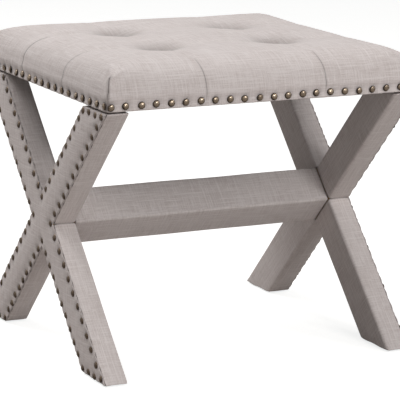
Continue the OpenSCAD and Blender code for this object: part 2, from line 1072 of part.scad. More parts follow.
// Places of the two glides under the left frame's feet
module at_left_glides() {
    for (s = [-1, 1])
        translate([core_depth + arm_thickness / 2 - half_x, s * arm_end, 0])
            children();
}

module left_foot_glides() {
    color("dimgray")
        at_left_glides()
            rotate_extrude($fn = round_steps)
                polygon([
                    [0, 0],
                    [glide_diameter / 2 - glide_edge, 0],
                    [glide_diameter / 2, glide_edge],
                    [glide_diameter / 2, glide_thickness],
                    [glide_nail_diameter / 2, glide_thickness],
                    [glide_nail_diameter / 2, glide_thickness + glide_nail_length - glide_nail_diameter],
                    [0, glide_thickness + glide_nail_length]
                ]);
}

module right_foot_glides() {
    mirror([1, 0, 0])
        left_foot_glides();
}

// Diamond section of the stretcher, the crossing's own outline
module diamond(width) {
    polygon([
        [-width / 2 / sin(arm_slope), 0],
        [0, -width / 2 / cos(arm_slope)],
        [width / 2 / sin(arm_slope), 0],
        [0, width / 2 / cos(arm_slope)]
    ]);
}

// The bar between the end frames, bored at both ends
module stretcher_core() {
    color("burlywood")
        difference() {
            frame_slab(frame_thickness + joint_gap, 2 * (stretcher_half - joint_gap))
                diamond(arm_width);
            for (m = [0, 1])
                mirror([m, 0, 0]) {
                    frame_bore(
                        [0, 0], frame_thickness, joint_gap + insert_length + overrun,
                        insert_diameter + 2 * bore_gap
                    );
                    for (p = dowel_places())
                        frame_bore(
                            p, frame_thickness, joint_gap + dowel_depth + overrun,
                            dowel_diameter + 2 * bore_gap
                        );
                }
        }
}

module stretcher_cover() {
    color("silver")
        frame_slab(frame_thickness + joint_gap, 2 * (stretcher_half - joint_gap))
            difference() {
                diamond(covered_width);
                diamond(arm_width + 2 * skin_gap);
            }
}

module stretcher_inserts() {
    color("goldenrod")
        for (m = [0, 1])
            mirror([m, 0, 0])
                translate([frame_thickness + joint_gap - half_x, 0, cross_height])
                    rotate([0, 90, 0])
                        flat_ring(insert_diameter, insert_length);
}

seat_deck();
front_rail();
back_rail();
left_rail();
right_rail();
corner_block_front_left();
corner_block_front_right();
corner_block_back_left();
corner_block_back_right();
left_leg_cleat();
right_leg_cleat();
seat_foam();
seat_cover();
border_band();
tuft_buttons();
tuft_twines();
tuft_toggles();
deck_screws();
dust_cover();
front_border_nails();
back_border_nails();
left_border_nails();
right_border_nails();
left_leg_bolts();
right_leg_bolts();
left_bolt_washers();
right_bolt_washers();
left_leg_spacers();
right_leg_spacers();
left_leg_inserts();
right_leg_inserts();
left_falling_arm();
right_falling_arm();
left_rising_arm();
right_rising_arm();
left_frame_wrap();
right_frame_wrap();
left_outer_panel();
right_outer_panel();
left_frame_nails();
right_frame_nails();
left_cross_bolt();
right_cross_bolt();
left_cross_washer();
right_cross_washer();
left_cross_dowels();
right_cross_dowels();
left_foot_glides();
right_foot_glides();
stretcher_core();
stretcher_cover();
stretcher_inserts();
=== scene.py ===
import functools
import json
import math

import bpy
import numpy as np
from bpy.props import FloatProperty, FloatVectorProperty, IntProperty, PointerProperty
from mathutils import Matrix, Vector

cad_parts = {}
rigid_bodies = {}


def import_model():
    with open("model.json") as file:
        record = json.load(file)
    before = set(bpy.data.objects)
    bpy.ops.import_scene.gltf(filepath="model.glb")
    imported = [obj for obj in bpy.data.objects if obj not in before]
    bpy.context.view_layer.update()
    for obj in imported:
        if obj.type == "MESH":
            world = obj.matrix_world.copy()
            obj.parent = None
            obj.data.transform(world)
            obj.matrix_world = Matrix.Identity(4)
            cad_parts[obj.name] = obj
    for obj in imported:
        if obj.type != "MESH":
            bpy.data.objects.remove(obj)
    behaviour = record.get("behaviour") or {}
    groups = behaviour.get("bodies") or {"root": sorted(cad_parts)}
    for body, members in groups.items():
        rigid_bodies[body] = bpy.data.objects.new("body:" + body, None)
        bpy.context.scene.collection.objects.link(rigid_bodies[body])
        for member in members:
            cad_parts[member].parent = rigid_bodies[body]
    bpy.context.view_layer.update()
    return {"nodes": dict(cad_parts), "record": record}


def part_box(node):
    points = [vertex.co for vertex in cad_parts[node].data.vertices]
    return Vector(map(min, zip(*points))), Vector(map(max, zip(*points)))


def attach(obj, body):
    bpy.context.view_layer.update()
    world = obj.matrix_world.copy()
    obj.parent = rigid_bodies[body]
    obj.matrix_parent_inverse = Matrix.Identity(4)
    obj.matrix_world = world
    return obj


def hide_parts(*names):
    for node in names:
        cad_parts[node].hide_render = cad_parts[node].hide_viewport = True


bl_info = {
    "name": "Upholstered X-leg bench",
    "version": (1, 0, 0),
    "blender": (4, 5, 0),
    "location": "3D View > Sidebar > Bench",
    "description": "Dresses the bench: tufted cushion, fabric covers, nails, dust cloth and stage",
    "category": "Object",
}

for left_over in list(bpy.data.objects):
    bpy.data.objects.remove(left_over)
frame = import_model()

# Lower and upper corners of the CAD pieces that the fabric follows
WRAP_LOW, WRAP_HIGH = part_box("left_frame_wrap")
PANEL_LOW, PANEL_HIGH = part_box("left_outer_panel")
BAR_LOW, BAR_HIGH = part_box("stretcher_cover")
DUST_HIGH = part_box("dust_cover")[1]

UNDERSIDE = 0.400  # height of the seat's lower edge
NAIL_SINK = 0.0016  # how far a nailhead's rim lies below the fabric's outer face
BUTTON_REACH = 0.0095  # how far the flat floor of a tuft reaches from its middle


# Settings ---------------------------------------------------------------------------

def length(name, description, default, low=0.0):
    """A size in metres that a user may change."""
    return FloatProperty(name=name, description=description, default=default, min=low,
                         unit="LENGTH", precision=4)


def tint(name, description, default):
    """A colour that a user may change."""
    return FloatVectorProperty(name=name, description=description, default=default,
                               subtype="COLOR", size=3, min=0.0, max=1.0)


class BenchCushionSettings(bpy.types.PropertyGroup):
    """Sizes of the tufted cushion"""
    half_length: length("Half length", "Half the seat's length over its fabric", 0.254)
    half_depth: length("Half depth", "Half the seat's depth over its fabric", 0.240)
    corner: length("Corner radius", "Radius of the seat's upright corners", 0.010)
    shoulder_base: length("Shoulder base", "Height where the upright side ends", 0.430)
    shoulder_rise: length("Shoulder rise", "Rise of the round shoulder", 0.034)
    shoulder_reach: length("Shoulder reach", "Reach of the round shoulder", 0.048)
    crown: length("Crown", "Rise of the middle above the shoulder", 0.007)
    tuft_x: length("Tuft place along", "Distance of the tufts from the middle, along", 0.097)
    tuft_y: length("Tuft place across", "Distance of the tufts from the middle, across", 0.078)
    tuft_depth: length("Tuft depth", "Depth of a tuft below the crown", 0.0170)
    valley_depth: length("Valley depth", "Depth of the valleys between tufts", 0.0016)
    pleat_depth: length("Pleat depth", "Depth of the pleats over the shoulder", 0.0015)
    side_pleat_depth: length("Side pleat depth", "Depth of the pleats down the side", 0.0010)
    seam_depth: length("Seam depth", "Depth of the corner seams", 0.0014)
    grid_step: length("Grid step", "Widest distance between the mesh's lines", 0.0045, 0.001)


class BenchNailSettings(bpy.types.PropertyGroup):
    """Sizes of the domed nails and staples"""
    head: length("Head", "Diameter of a nailhead", 0.011)
    dome: length("Dome", "Height of a nailhead", 0.0028)
    shank: length("Shank", "Length of a nail's shank", 0.007)
    tilt: FloatProperty(name="Tilt", description="How far a nail leans at most", default=0.22,
                        subtype="ANGLE")
    drift: length("Drift", "How far a nail strays from its row at most", 0.0011)
    border_height: length("Border height", "Height of the border nails above the lower edge", 0.008)
    long_row: IntProperty(name="Long row", description="Nails along the front and the back",
                          default=22)
    short_row: IntProperty(name="Short row", description="Nails along each end", default=19)
    staple_step: length("Staple step", "Distance between the dust cloth's staples", 0.028, 0.005)


class BenchFrameSettings(bpy.types.PropertyGroup):
    """Sizes of the covered end frames and the stretcher"""
    arm_width: length("Arm width", "Width of an arm over its fabric", 0.0604)
    fabric: length("Fabric", "Thickness of the fabric with its wadding", 0.0018)
    edge_radius: length("Edge radius", "Roundness of the covered edges", 0.0042)
    panel_crown: length("Panel crown", "How far the nailed panel swells between its nails", 0.0016)
    pinch: length("Pinch", "Depth of the dimple round a nail", 0.0009)
    grid_step: length("Grid step", "Distance between the mesh's lines", 0.0032, 0.001)


class BenchColourSettings(bpy.types.PropertyGroup):
    """Colours of the bench's materials"""
    linen: tint("Linen", "The fabric's lighter threads", (0.710, 0.648, 0.629))
    linen_dark: tint("Linen slubs", "The fabric's darker threads", (0.550, 0.480, 0.458))
    brass: tint("Antique brass", "The crown of a nailhead", (0.290, 0.229, 0.170))
    # A darker, browner copy of the brass for the end frames' nails: painted shade, as those nails
    # look darker only from how the light falls on them
    shaded: tint("Brass with painted shade", "The crown of an end frame's nailhead", (0.125, 0.092, 0.067))
    brass_dark: tint("Antique brass rim", "The stained rim of a nailhead", (0.034, 0.021, 0.014))
    # Rim colour of the same painted-shade copy of the brass
    shaded_dark: tint("Brass rim with painted shade", "The rim of an end frame's nailhead", (0.075, 0.053, 0.038))


class BenchStageSettings(bpy.types.PropertyGroup):
    """Light and camera"""
    lens: FloatProperty(name="Lens", description="Focal length", default=213.06, unit="CAMERA")
    key: FloatProperty(name="Key light", description="Power of the soft light high on the left",
                       default=76.0, unit="POWER")
    front: FloatProperty(name="Front light", description="Power of the low light in front",
                         default=41.0, unit="POWER")
    glint: FloatProperty(name="Glint light", description="Power of the small light on the right",
                         default=15.0, unit="POWER")
    sky: FloatProperty(name="Sky", description="Strength of the even light", default=0.17)


SETTINGS = (
    ("bench_cushion", BenchCushionSettings),
    ("bench_nails", BenchNailSettings),
    ("bench_frames", BenchFrameSettings),
    ("bench_colours", BenchColourSettings),
    ("bench_stage", BenchStageSettings),
)


# Mesh tools -------------------------------------------------------------------------

def march(start, stop, step):
    """Places from start to stop, as far apart as step says at each of them."""
    places, way = [start], 1 if stop > start else -1
    while abs(places[-1] - start) < abs(stop - start):
        places.append(places[-1] + way * step(places[-1]))
    places = np.array(places)
    return start + (places - start) * (stop - start) / (places[-1] - start)


def ease(value):
    """0 below 0, 1 above 1 and smooth between."""
    t = np.clip(value, 0, 1)
    return t * t * (3 - 2 * t)


def bell(distance, width):
    """1 at no distance and a round fall to 0 beyond the width."""
    return np.exp(-(distance / width) ** 2)


def cusp(distance, width):
    """1 at no distance and a sharp fall from there to 0."""
    return np.exp(-np.abs(distance) / width)


def unevenness(points, size, seed):
    """A slow wobble from -1 to 1 over the points."""
    random = np.random.default_rng(seed)
    total, waves = np.zeros(len(points)), 7
    for _ in range(waves):
        way = random.normal(size=3)
        way /= np.linalg.norm(way)
        total += np.sin(points @ way * random.uniform(4, 9) / size + random.uniform(0, 6.28))
    return total / waves


def corner_normals(points, quads):
    """Smooth normals of a mesh of four-cornered faces."""
    a, b, c, d = (points[quads[:, k]] for k in range(4))
    face = np.cross(c - a, d - b)
    normals = np.zeros_like(points)
    for k in range(4):
        np.add.at(normals, quads[:, k], face)
    return normals / np.maximum(np.linalg.norm(normals, axis=1), 1e-12)[:, None]


def make_piece(name, points, quads, uv=None, masks=None, caps=()):
    """A smooth mesh object from points, four-cornered faces, their UVs, point masks and caps."""
    mesh = bpy.data.meshes.new(name)
    faces = np.asarray(quads).tolist() + [list(c) for c in caps]
    mesh.from_pydata(np.asarray(points).tolist(), [], faces)
    if uv is not None:
        layer = mesh.uv_layers.new(name="weave")
        spare = np.zeros((sum(len(c) for c in caps), 2))
        layer.data.foreach_set("uv", np.concatenate([uv.reshape(-1, 2), spare]).ravel())
    for mask, values in (masks or {}).items():
        mesh.attributes.new(mask, "FLOAT", "POINT").data.foreach_set(
            "value", np.asarray(values, np.float32))
    mesh.polygons.foreach_set("use_smooth", [True] * len(mesh.polygons))
    mesh.update()
    piece = bpy.data.objects.new(name, mesh)
    bpy.context.scene.collection.objects.link(piece)
    return piece


def finish_piece(piece, material, nodes=()):
    """Gives a piece its material and body, and hides the nodes it replaces."""
    piece.data.materials.clear()
    piece.data.materials.append(material)
    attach(piece, "root")
    if nodes:
        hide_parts(*nodes)
    return piece


def join_parts(parts):
    """One set of points, faces, UVs and masks from several."""
    points, quads, uvs, masks = zip(*parts)
    starts = np.cumsum([0] + [len(p) for p in points[:-1]])
    quads = [q + start for q, start in zip(quads, starts)]
    return tuple(np.concatenate(each) for each in (points, quads, uvs, masks))


def grid_quads(rows, columns, wrap_rows=False, wrap_columns=False):
    """Faces of a grid whose points are stored row by row."""
    r = np.arange(rows if wrap_rows else rows - 1)
    c = np.arange(columns if wrap_columns else columns - 1)
    r, c = np.meshgrid(r, c, indexing="ij")
    r2, c2 = (r + 1) % rows, (c + 1) % columns
    return np.stack([r * columns + c, r * columns + c2, r2 * columns + c2, r2 * columns + c],
                    -1).reshape(-1, 4)


def cloth_layer(gx, gy, lower, upper):
    """Points and faces of a closed sheet between two heights over a grid of places."""
    rows, columns = gx.shape
    n = rows * columns
    quads = grid_quads(rows, columns)
    across, down = np.arange(columns - 1), np.arange(rows - 1)
    loop = np.concatenate([across, down * columns + columns - 1, n - 1 - across,
                           (rows - 1 - down) * columns])
    after = np.roll(loop, -1)
    rim = np.stack([loop, after, after + n, loop + n], -1)
    points = np.concatenate([np.stack([gx, gy, z], -1).reshape(-1, 3) for z in (lower, upper)])
    return points, np.concatenate([quads[:, ::-1], quads + n, rim])


# Node tools -------------------------------------------------------------------------

class Graph:
    """Adds nodes to a tree and joins them."""

    def __init__(self, tree):
        self.tree = tree

    def put(self, socket, value):
        """Joins a node or a socket to the socket, or sets its value."""
        if isinstance(value, bpy.types.Node):
            value = value.outputs[0]
        if isinstance(value, bpy.types.NodeSocket):
            self.tree.links.new(value, socket)
        else:
            socket.default_value = value

    def node(self, kind, values=None, **settings):
        """A node with its settings, and its inputs by name or number."""
        made = self.tree.nodes.new(kind)
        for name, value in settings.items():
            setattr(made, name, value)
        for socket, value in (values or {}).items():
            self.put(made.inputs[socket], value)
        return made

    def math(self, operation, a, b=0.0, c=0.0):
        """The result of one sum."""
        return self.node("ShaderNodeMath", {0: a, 1: b, 2: c}, operation=operation).outputs[0]

    def clamp(self, value, low, high):
        """The value, kept between low and high."""
        return self.math("MAXIMUM", self.math("MINIMUM", value, high), low)

    def mix(self, share, a, b):
        """Colour a at share 0, colour b at share 1."""
        return self.node("ShaderNodeMix", {0: share, 6: a, 7: b}, data_type="RGBA").outputs[2]

    def stretch(self, vector, x, y, z):
        """The vector with each axis scaled on its own."""
        made = self.node("ShaderNodeVectorMath", {0: vector}, operation="MULTIPLY")
        made.inputs[1].default_value = (x, y, z)
        return made.outputs[0]

    def scaled(self, vector, factor):
        """The vector times one factor."""
        made = self.node("ShaderNodeVectorMath", {0: vector}, operation="SCALE")
        self.put(made.inputs["Scale"], factor)
        return made.outputs[0]

    def noise(self, vector, scale=1.0, detail=2.0, roughness=0.5):
        """Cloudy values from 0 to 1."""
        return self.node("ShaderNodeTexNoise", {"Vector": vector, "Scale": scale, "Detail": detail,
                                                "Roughness": roughness}).outputs[0]

    def ramp(self, value, low, high):
        """0 below low, 1 above high and straight between."""
        return self.node("ShaderNodeMapRange",
                         {0: value, 1: low, 2: high, 3: 0.0, 4: 1.0}).outputs[0]


FLOAT, COLOUR, VECTOR = "NodeSocketFloat", "NodeSocketColor", "NodeSocketVector"
WHOLE, GEOMETRY, MATERIAL = "NodeSocketInt", "NodeSocketGeometry", "NodeSocketMaterial"
PATTERN = [("Color", COLOUR), ("Height", FLOAT), ("Roughness", FLOAT)]


def new_tree(name, kind, inputs, outputs):
    """The graph of a new tree with named sockets, and the nodes at its two ends."""
    tree = bpy.data.node_groups.new(name, kind)
    for socket, socket_kind, default in inputs:
        made = tree.interface.new_socket(socket, in_out="INPUT", socket_type=socket_kind)
        if default is not None:
            made.default_value = default
    for socket, socket_kind in outputs:
        tree.interface.new_socket(socket, in_out="OUTPUT", socket_type=socket_kind)
    graph = Graph(tree)
    return graph, graph.node("NodeGroupInput"), graph.node("NodeGroupOutput")


def built_once(name):
    """Turns a function that builds a tree of that name into one that builds it only once."""
    def decorate(build):
        @functools.wraps(build)
        def tree():
            if name not in bpy.data.node_groups:
                build(name)
            return bpy.data.node_groups[name]
        return tree
    return decorate


@built_once("slub_linen")
def linen_group(name):
    """Slubby plain weave from a vector in metres along the weft and the warp, with painted shade
    mixed in by the crease mask.
    """
    g, given, out = new_tree(name, "ShaderNodeTree", [
        ("Vector", VECTOR, None), ("Light", COLOUR, (0.6, 0.55, 0.5, 1)),
        ("Dark", COLOUR, (0.45, 0.4, 0.37, 1)), ("Crease_shade", FLOAT, 0.0),
        ("Thread", FLOAT, 0.0011), ("Slub", FLOAT, 1.0)], PATTERN)
    vector = given.outputs["Vector"]
    weft = g.noise(g.stretch(vector, 26, 620, 0), detail=3.0, roughness=0.62)
    warp = g.noise(g.stretch(vector, 700, 22, 7), detail=3.0, roughness=0.62)
    long_weft = g.noise(g.stretch(vector, 9, 330, 3), detail=1.0)
    long_warp = g.noise(g.stretch(vector, 360, 8, 5), detail=1.0)
    cloud = g.noise(g.stretch(vector, 11, 11, 11), detail=3.0)
    thin_weft = g.ramp(g.noise(g.stretch(vector, 34, 430, 13), detail=1.0), 0.635, 0.71)
    thin_warp = g.ramp(g.noise(g.stretch(vector, 430, 34, 17), detail=1.0), 0.635, 0.71)
    grain = g.noise(g.stretch(vector, 520, 520, 0), detail=2.0)
    streak = g.math("ADD", g.ramp(weft, 0.34, 0.72), g.ramp(warp, 0.34, 0.72))
    streak = g.math("MULTIPLY_ADD", g.ramp(long_weft, 0.56, 0.74), -0.7, streak)
    streak = g.math("MULTIPLY_ADD", g.ramp(long_warp, 0.58, 0.74), -0.6, streak)
    streak = g.math("MULTIPLY", g.math("SUBTRACT", streak, 0.85), given.outputs["Slub"])
    share = g.math("MULTIPLY_ADD", streak, 0.72, 0.46)
    share = g.math("MULTIPLY_ADD", g.math("MULTIPLY", g.math("MAXIMUM", thin_weft, thin_warp),
                                           g.ramp(cloud, 0.36, 0.60)), -1.0, share)
    share = g.math("MULTIPLY_ADD", g.math("SUBTRACT", grain, 0.5), 0.9, share)
    share = g.math("MULTIPLY_ADD", g.math("SUBTRACT", cloud, 0.5), 0.55, share)
    colour = g.mix(g.clamp(share, -0.45, 1.5), given.outputs["Light"], given.outputs["Dark"])
    # Painted shade: the crease mask darkens the weave towards this near-black colour in creases,
    # pits, seams and round nails
    painted_crease_shade = (0.035, 0.028, 0.025, 1)
    shade = g.mix(g.math("MULTIPLY", given.outputs["Crease_shade"], 0.82), colour, painted_crease_shade)
    split = g.node("ShaderNodeSeparateXYZ", {0: vector})
    turn = g.math("DIVIDE", math.tau / 2, given.outputs["Thread"])
    over = g.math("SINE", g.math("MULTIPLY", split.outputs[0], turn))
    under = g.math("SINE", g.math("MULTIPLY", split.outputs[1], turn))
    weave = g.math("MULTIPLY", over, under)
    height = g.math("MULTIPLY_ADD", weave, 0.35, g.math("MULTIPLY", streak, 0.75))
    g.put(out.inputs["Color"], shade)
    g.put(out.inputs["Height"], height)
    g.put(out.inputs["Roughness"], g.math("MULTIPLY_ADD", streak, 0.06, 0.86))


@built_once("timber_grain")
def wood_group(name):
    """Sawn timber: growth lines along one axis with pores and tone."""
    g, given, out = new_tree(name, "ShaderNodeTree", [
        ("Vector", VECTOR, None), ("Light", COLOUR, (0.6, 0.42, 0.24, 1)),
        ("Dark", COLOUR, (0.42, 0.27, 0.14, 1)), ("Rings", FLOAT, 90.0)], PATTERN)
    vector = given.outputs["Vector"]
    bend = g.noise(vector, 6.0, 2.0)
    wave = g.node("ShaderNodeTexWave", {"Vector": vector, "Scale": given.outputs["Rings"],
                                        "Distortion": 3.0, "Detail": 2.0, "Detail Scale": 1.2},
                  bands_direction="Y")
    pores = g.noise(g.stretch(vector, 60, 1500, 1500), detail=2.0)
    share = g.math("MULTIPLY_ADD", wave.outputs[1], 0.55, g.math("MULTIPLY", bend, 0.45))
    colour = g.mix(share, given.outputs["Light"], given.outputs["Dark"])
    pored = g.math("MULTIPLY", g.ramp(pores, 0.58, 0.75), 0.35)
    colour = g.mix(pored, colour, given.outputs["Dark"])
    g.put(out.inputs["Color"], colour)
    g.put(out.inputs["Height"], g.math("ADD", pores, g.math("MULTIPLY", wave.outputs[1], 0.4)))
    g.put(out.inputs["Roughness"], g.math("MULTIPLY_ADD", pores, 0.25, 0.55))


@built_once("stained_metal")
def metal_group(name):
    """Stained or plated metal: blotches, scratches and a dark rim where Crown is low."""
    g, given, out = new_tree(name, "ShaderNodeTree", [
        ("Vector", VECTOR, None), ("Bright", COLOUR, (0.5, 0.4, 0.3, 1)),
        ("Stain", COLOUR, (0.1, 0.07, 0.05, 1)), ("Crown", FLOAT, 1.0),
        ("Scale", FLOAT, 300.0)], PATTERN)
    vector = given.outputs["Vector"]
    blotch = g.noise(vector, given.outputs["Scale"], 3.0, 0.6)
    scratch = g.noise(g.stretch(vector, 3000, 500, 900), detail=1.0)
    clean = g.math("MULTIPLY_ADD", blotch, 0.7, g.math("SUBTRACT", given.outputs["Crown"], 0.66))
    clean = g.clamp(g.math("MULTIPLY", clean, 1.8), 0.0, 1.0)
    g.put(out.inputs["Color"], g.mix(clean, given.outputs["Stain"], given.outputs["Bright"]))
    g.put(out.inputs["Height"], g.math("MULTIPLY_ADD", scratch, 0.25, blotch))
    g.put(out.inputs["Roughness"], g.math("MULTIPLY_ADD", clean, -0.08,
                                          g.math("MULTIPLY_ADD", scratch, 0.10, 0.27)))


@built_once("speckled_stuff")
def speckle_group(name):
    """Moulded or felted stuff: two tones in fine and broad specks."""
    g, given, out = new_tree(name, "ShaderNodeTree", [
        ("Vector", VECTOR, None), ("Light", COLOUR, (0.1, 0.1, 0.1, 1)),
        ("Dark", COLOUR, (0.03, 0.03, 0.03, 1)), ("Scale", FLOAT, 900.0)], PATTERN)
    vector = given.outputs["Vector"]
    fine = g.noise(vector, given.outputs["Scale"], 3.0, 0.6)
    broad = g.noise(vector, 25.0, 2.0)
    share = g.math("MULTIPLY_ADD", fine, 0.8, g.math("MULTIPLY_ADD", broad, 0.5, -0.2))
    g.put(out.inputs["Color"], g.mix(share, given.outputs["Dark"], given.outputs["Light"]))
    g.put(out.inputs["Height"], fine)
    g.put(out.inputs["Roughness"], g.math("MULTIPLY_ADD", fine, 0.3, 0.55))


def emptied(owner):
    """The graph of a material or a world, without its first nodes."""
    owner.use_nodes = True
    owner.node_tree.nodes.clear()
    return Graph(owner.node_tree)


def group_material(name, group, values, metallic=0.0, bump=0.3, depth=0.0003, woven=False,
                   mask="", sheen=0.0, specular=0.5):
    """A material whose Principled shader reads one group.

    A woven one follows the weave UVs. A mask is a point attribute for the socket of its name."""
    if name in bpy.data.materials:
        return bpy.data.materials[name]
    material = bpy.data.materials.new(name)
    g = emptied(material)
    if woven:
        vector = g.node("ShaderNodeUVMap", uv_map="weave").outputs[0]
    else:
        vector = g.node("ShaderNodeTexCoord").outputs["Object"]
    made = g.node("ShaderNodeGroup", node_tree=group)
    g.put(made.inputs["Vector"], vector)
    for socket, value in values.items():
        g.put(made.inputs[socket], value)
    if mask:
        attribute = g.node("ShaderNodeAttribute", attribute_name=mask)
        g.put(made.inputs[mask.capitalize()], attribute.outputs["Fac"])
    lump = g.node("ShaderNodeBump", {"Strength": bump, "Distance": depth,
                                     "Height": made.outputs["Height"]})
    shader = g.node("ShaderNodeBsdfPrincipled", {
        "Base Color": made.outputs["Color"], "Roughness": made.outputs["Roughness"],
        "Metallic": metallic, "Normal": lump.outputs[0], "Sheen Weight": sheen,
        "Specular IOR Level": specular})
    g.node("ShaderNodeOutputMaterial", {"Surface": shader.outputs[0]})
    return material


def linen_material():
    """The cover fabric, with painted shade in its creases from the crease mask."""
    colours = bpy.context.scene.bench_colours
    return group_material("slubby_linen", linen_group(),
                          {"Light": (*colours.linen, 1), "Dark": (*colours.linen_dark, 1)},
                          bump=0.55, depth=0.0004, woven=True, mask="crease_shade", sheen=0.12,
                          specular=0.25)


def brass_material(shaded=False):
    """Antique brass; the flag gives the darker, browner copy for the end frames' nails, which is
    painted shade.
    """
    colours = bpy.context.scene.bench_colours
    name, bright, stain = (("brass_painted_shade", colours.shaded, colours.shaded_dark) if shaded else
                           ("antique_brass", colours.brass, colours.brass_dark))
    return group_material(name, metal_group(), {"Bright": (*bright, 1), "Stain": (*stain, 1)},
                          metallic=0.9, bump=0.2, depth=0.0002, mask="crown")


# Group, sockets of its two colours and its scale, metallic and bump of each kind of finish
PLAIN_KINDS = {
    "timber": (wood_group, ("Light", "Dark", "Rings"), 0.0, 0.3),
    "stuff": (speckle_group, ("Light", "Dark", "Scale"), 0.0, 0.3),
    "metal": (metal_group, ("Bright", "Stain", "Scale"), 1.0, 0.15),
}

# Material, kind, its two colours and its scale by slot
PLAIN_FINISHES = {
    "wood": ("sawn_beech", "timber", (0.62, 0.43, 0.25), (0.47, 0.30, 0.16), 60.0),
    "plywood": ("birch_ply", "timber", (0.66, 0.50, 0.32), (0.52, 0.37, 0.22), 25.0),
    "twine": ("waxed_twine", "stuff", (0.70, 0.62, 0.48), (0.50, 0.43, 0.32), 1500.0),
    "plastic": ("moulded_plastic", "stuff", (0.022, 0.022, 0.022), (0.012, 0.012, 0.012), 1200.0),
    "rubber": ("black_rubber", "stuff", (0.020, 0.019, 0.018), (0.008, 0.008, 0.008), 700.0),
    "dust_cloth": ("black_dust_cloth", "stuff", (0.026, 0.026, 0.029), (0.008, 0.008, 0.009),
                   1100.0),
    "foam": ("pale_foam", "stuff", (0.80, 0.74, 0.55), (0.66, 0.58, 0.40), 600.0),
    "insert_brass": ("turned_brass", "metal", (0.72, 0.53, 0.25), (0.45, 0.30, 0.12), 200.0),
    "steel": ("zinc_steel", "metal", (0.62, 0.63, 0.65), (0.38, 0.39, 0.41), 250.0),
}


def plain_material(slot):
    """The material of one of the plain slots."""
    name, kind, first, second, scale = PLAIN_FINISHES[slot]
    group, sockets, metallic, bump = PLAIN_KINDS[kind]
    values = dict(zip(sockets, ((*first, 1), (*second, 1), scale)))
    return group_material(name, group(), values, metallic=metallic, bump=bump)


# Cushion ----------------------------------------------------------------------------

def pit(away, width, power):
    """1 on the flat floor of a tuft and a fall to 0 round it."""
    return np.exp(-(np.maximum(0, away - BUTTON_REACH) / width) ** power)


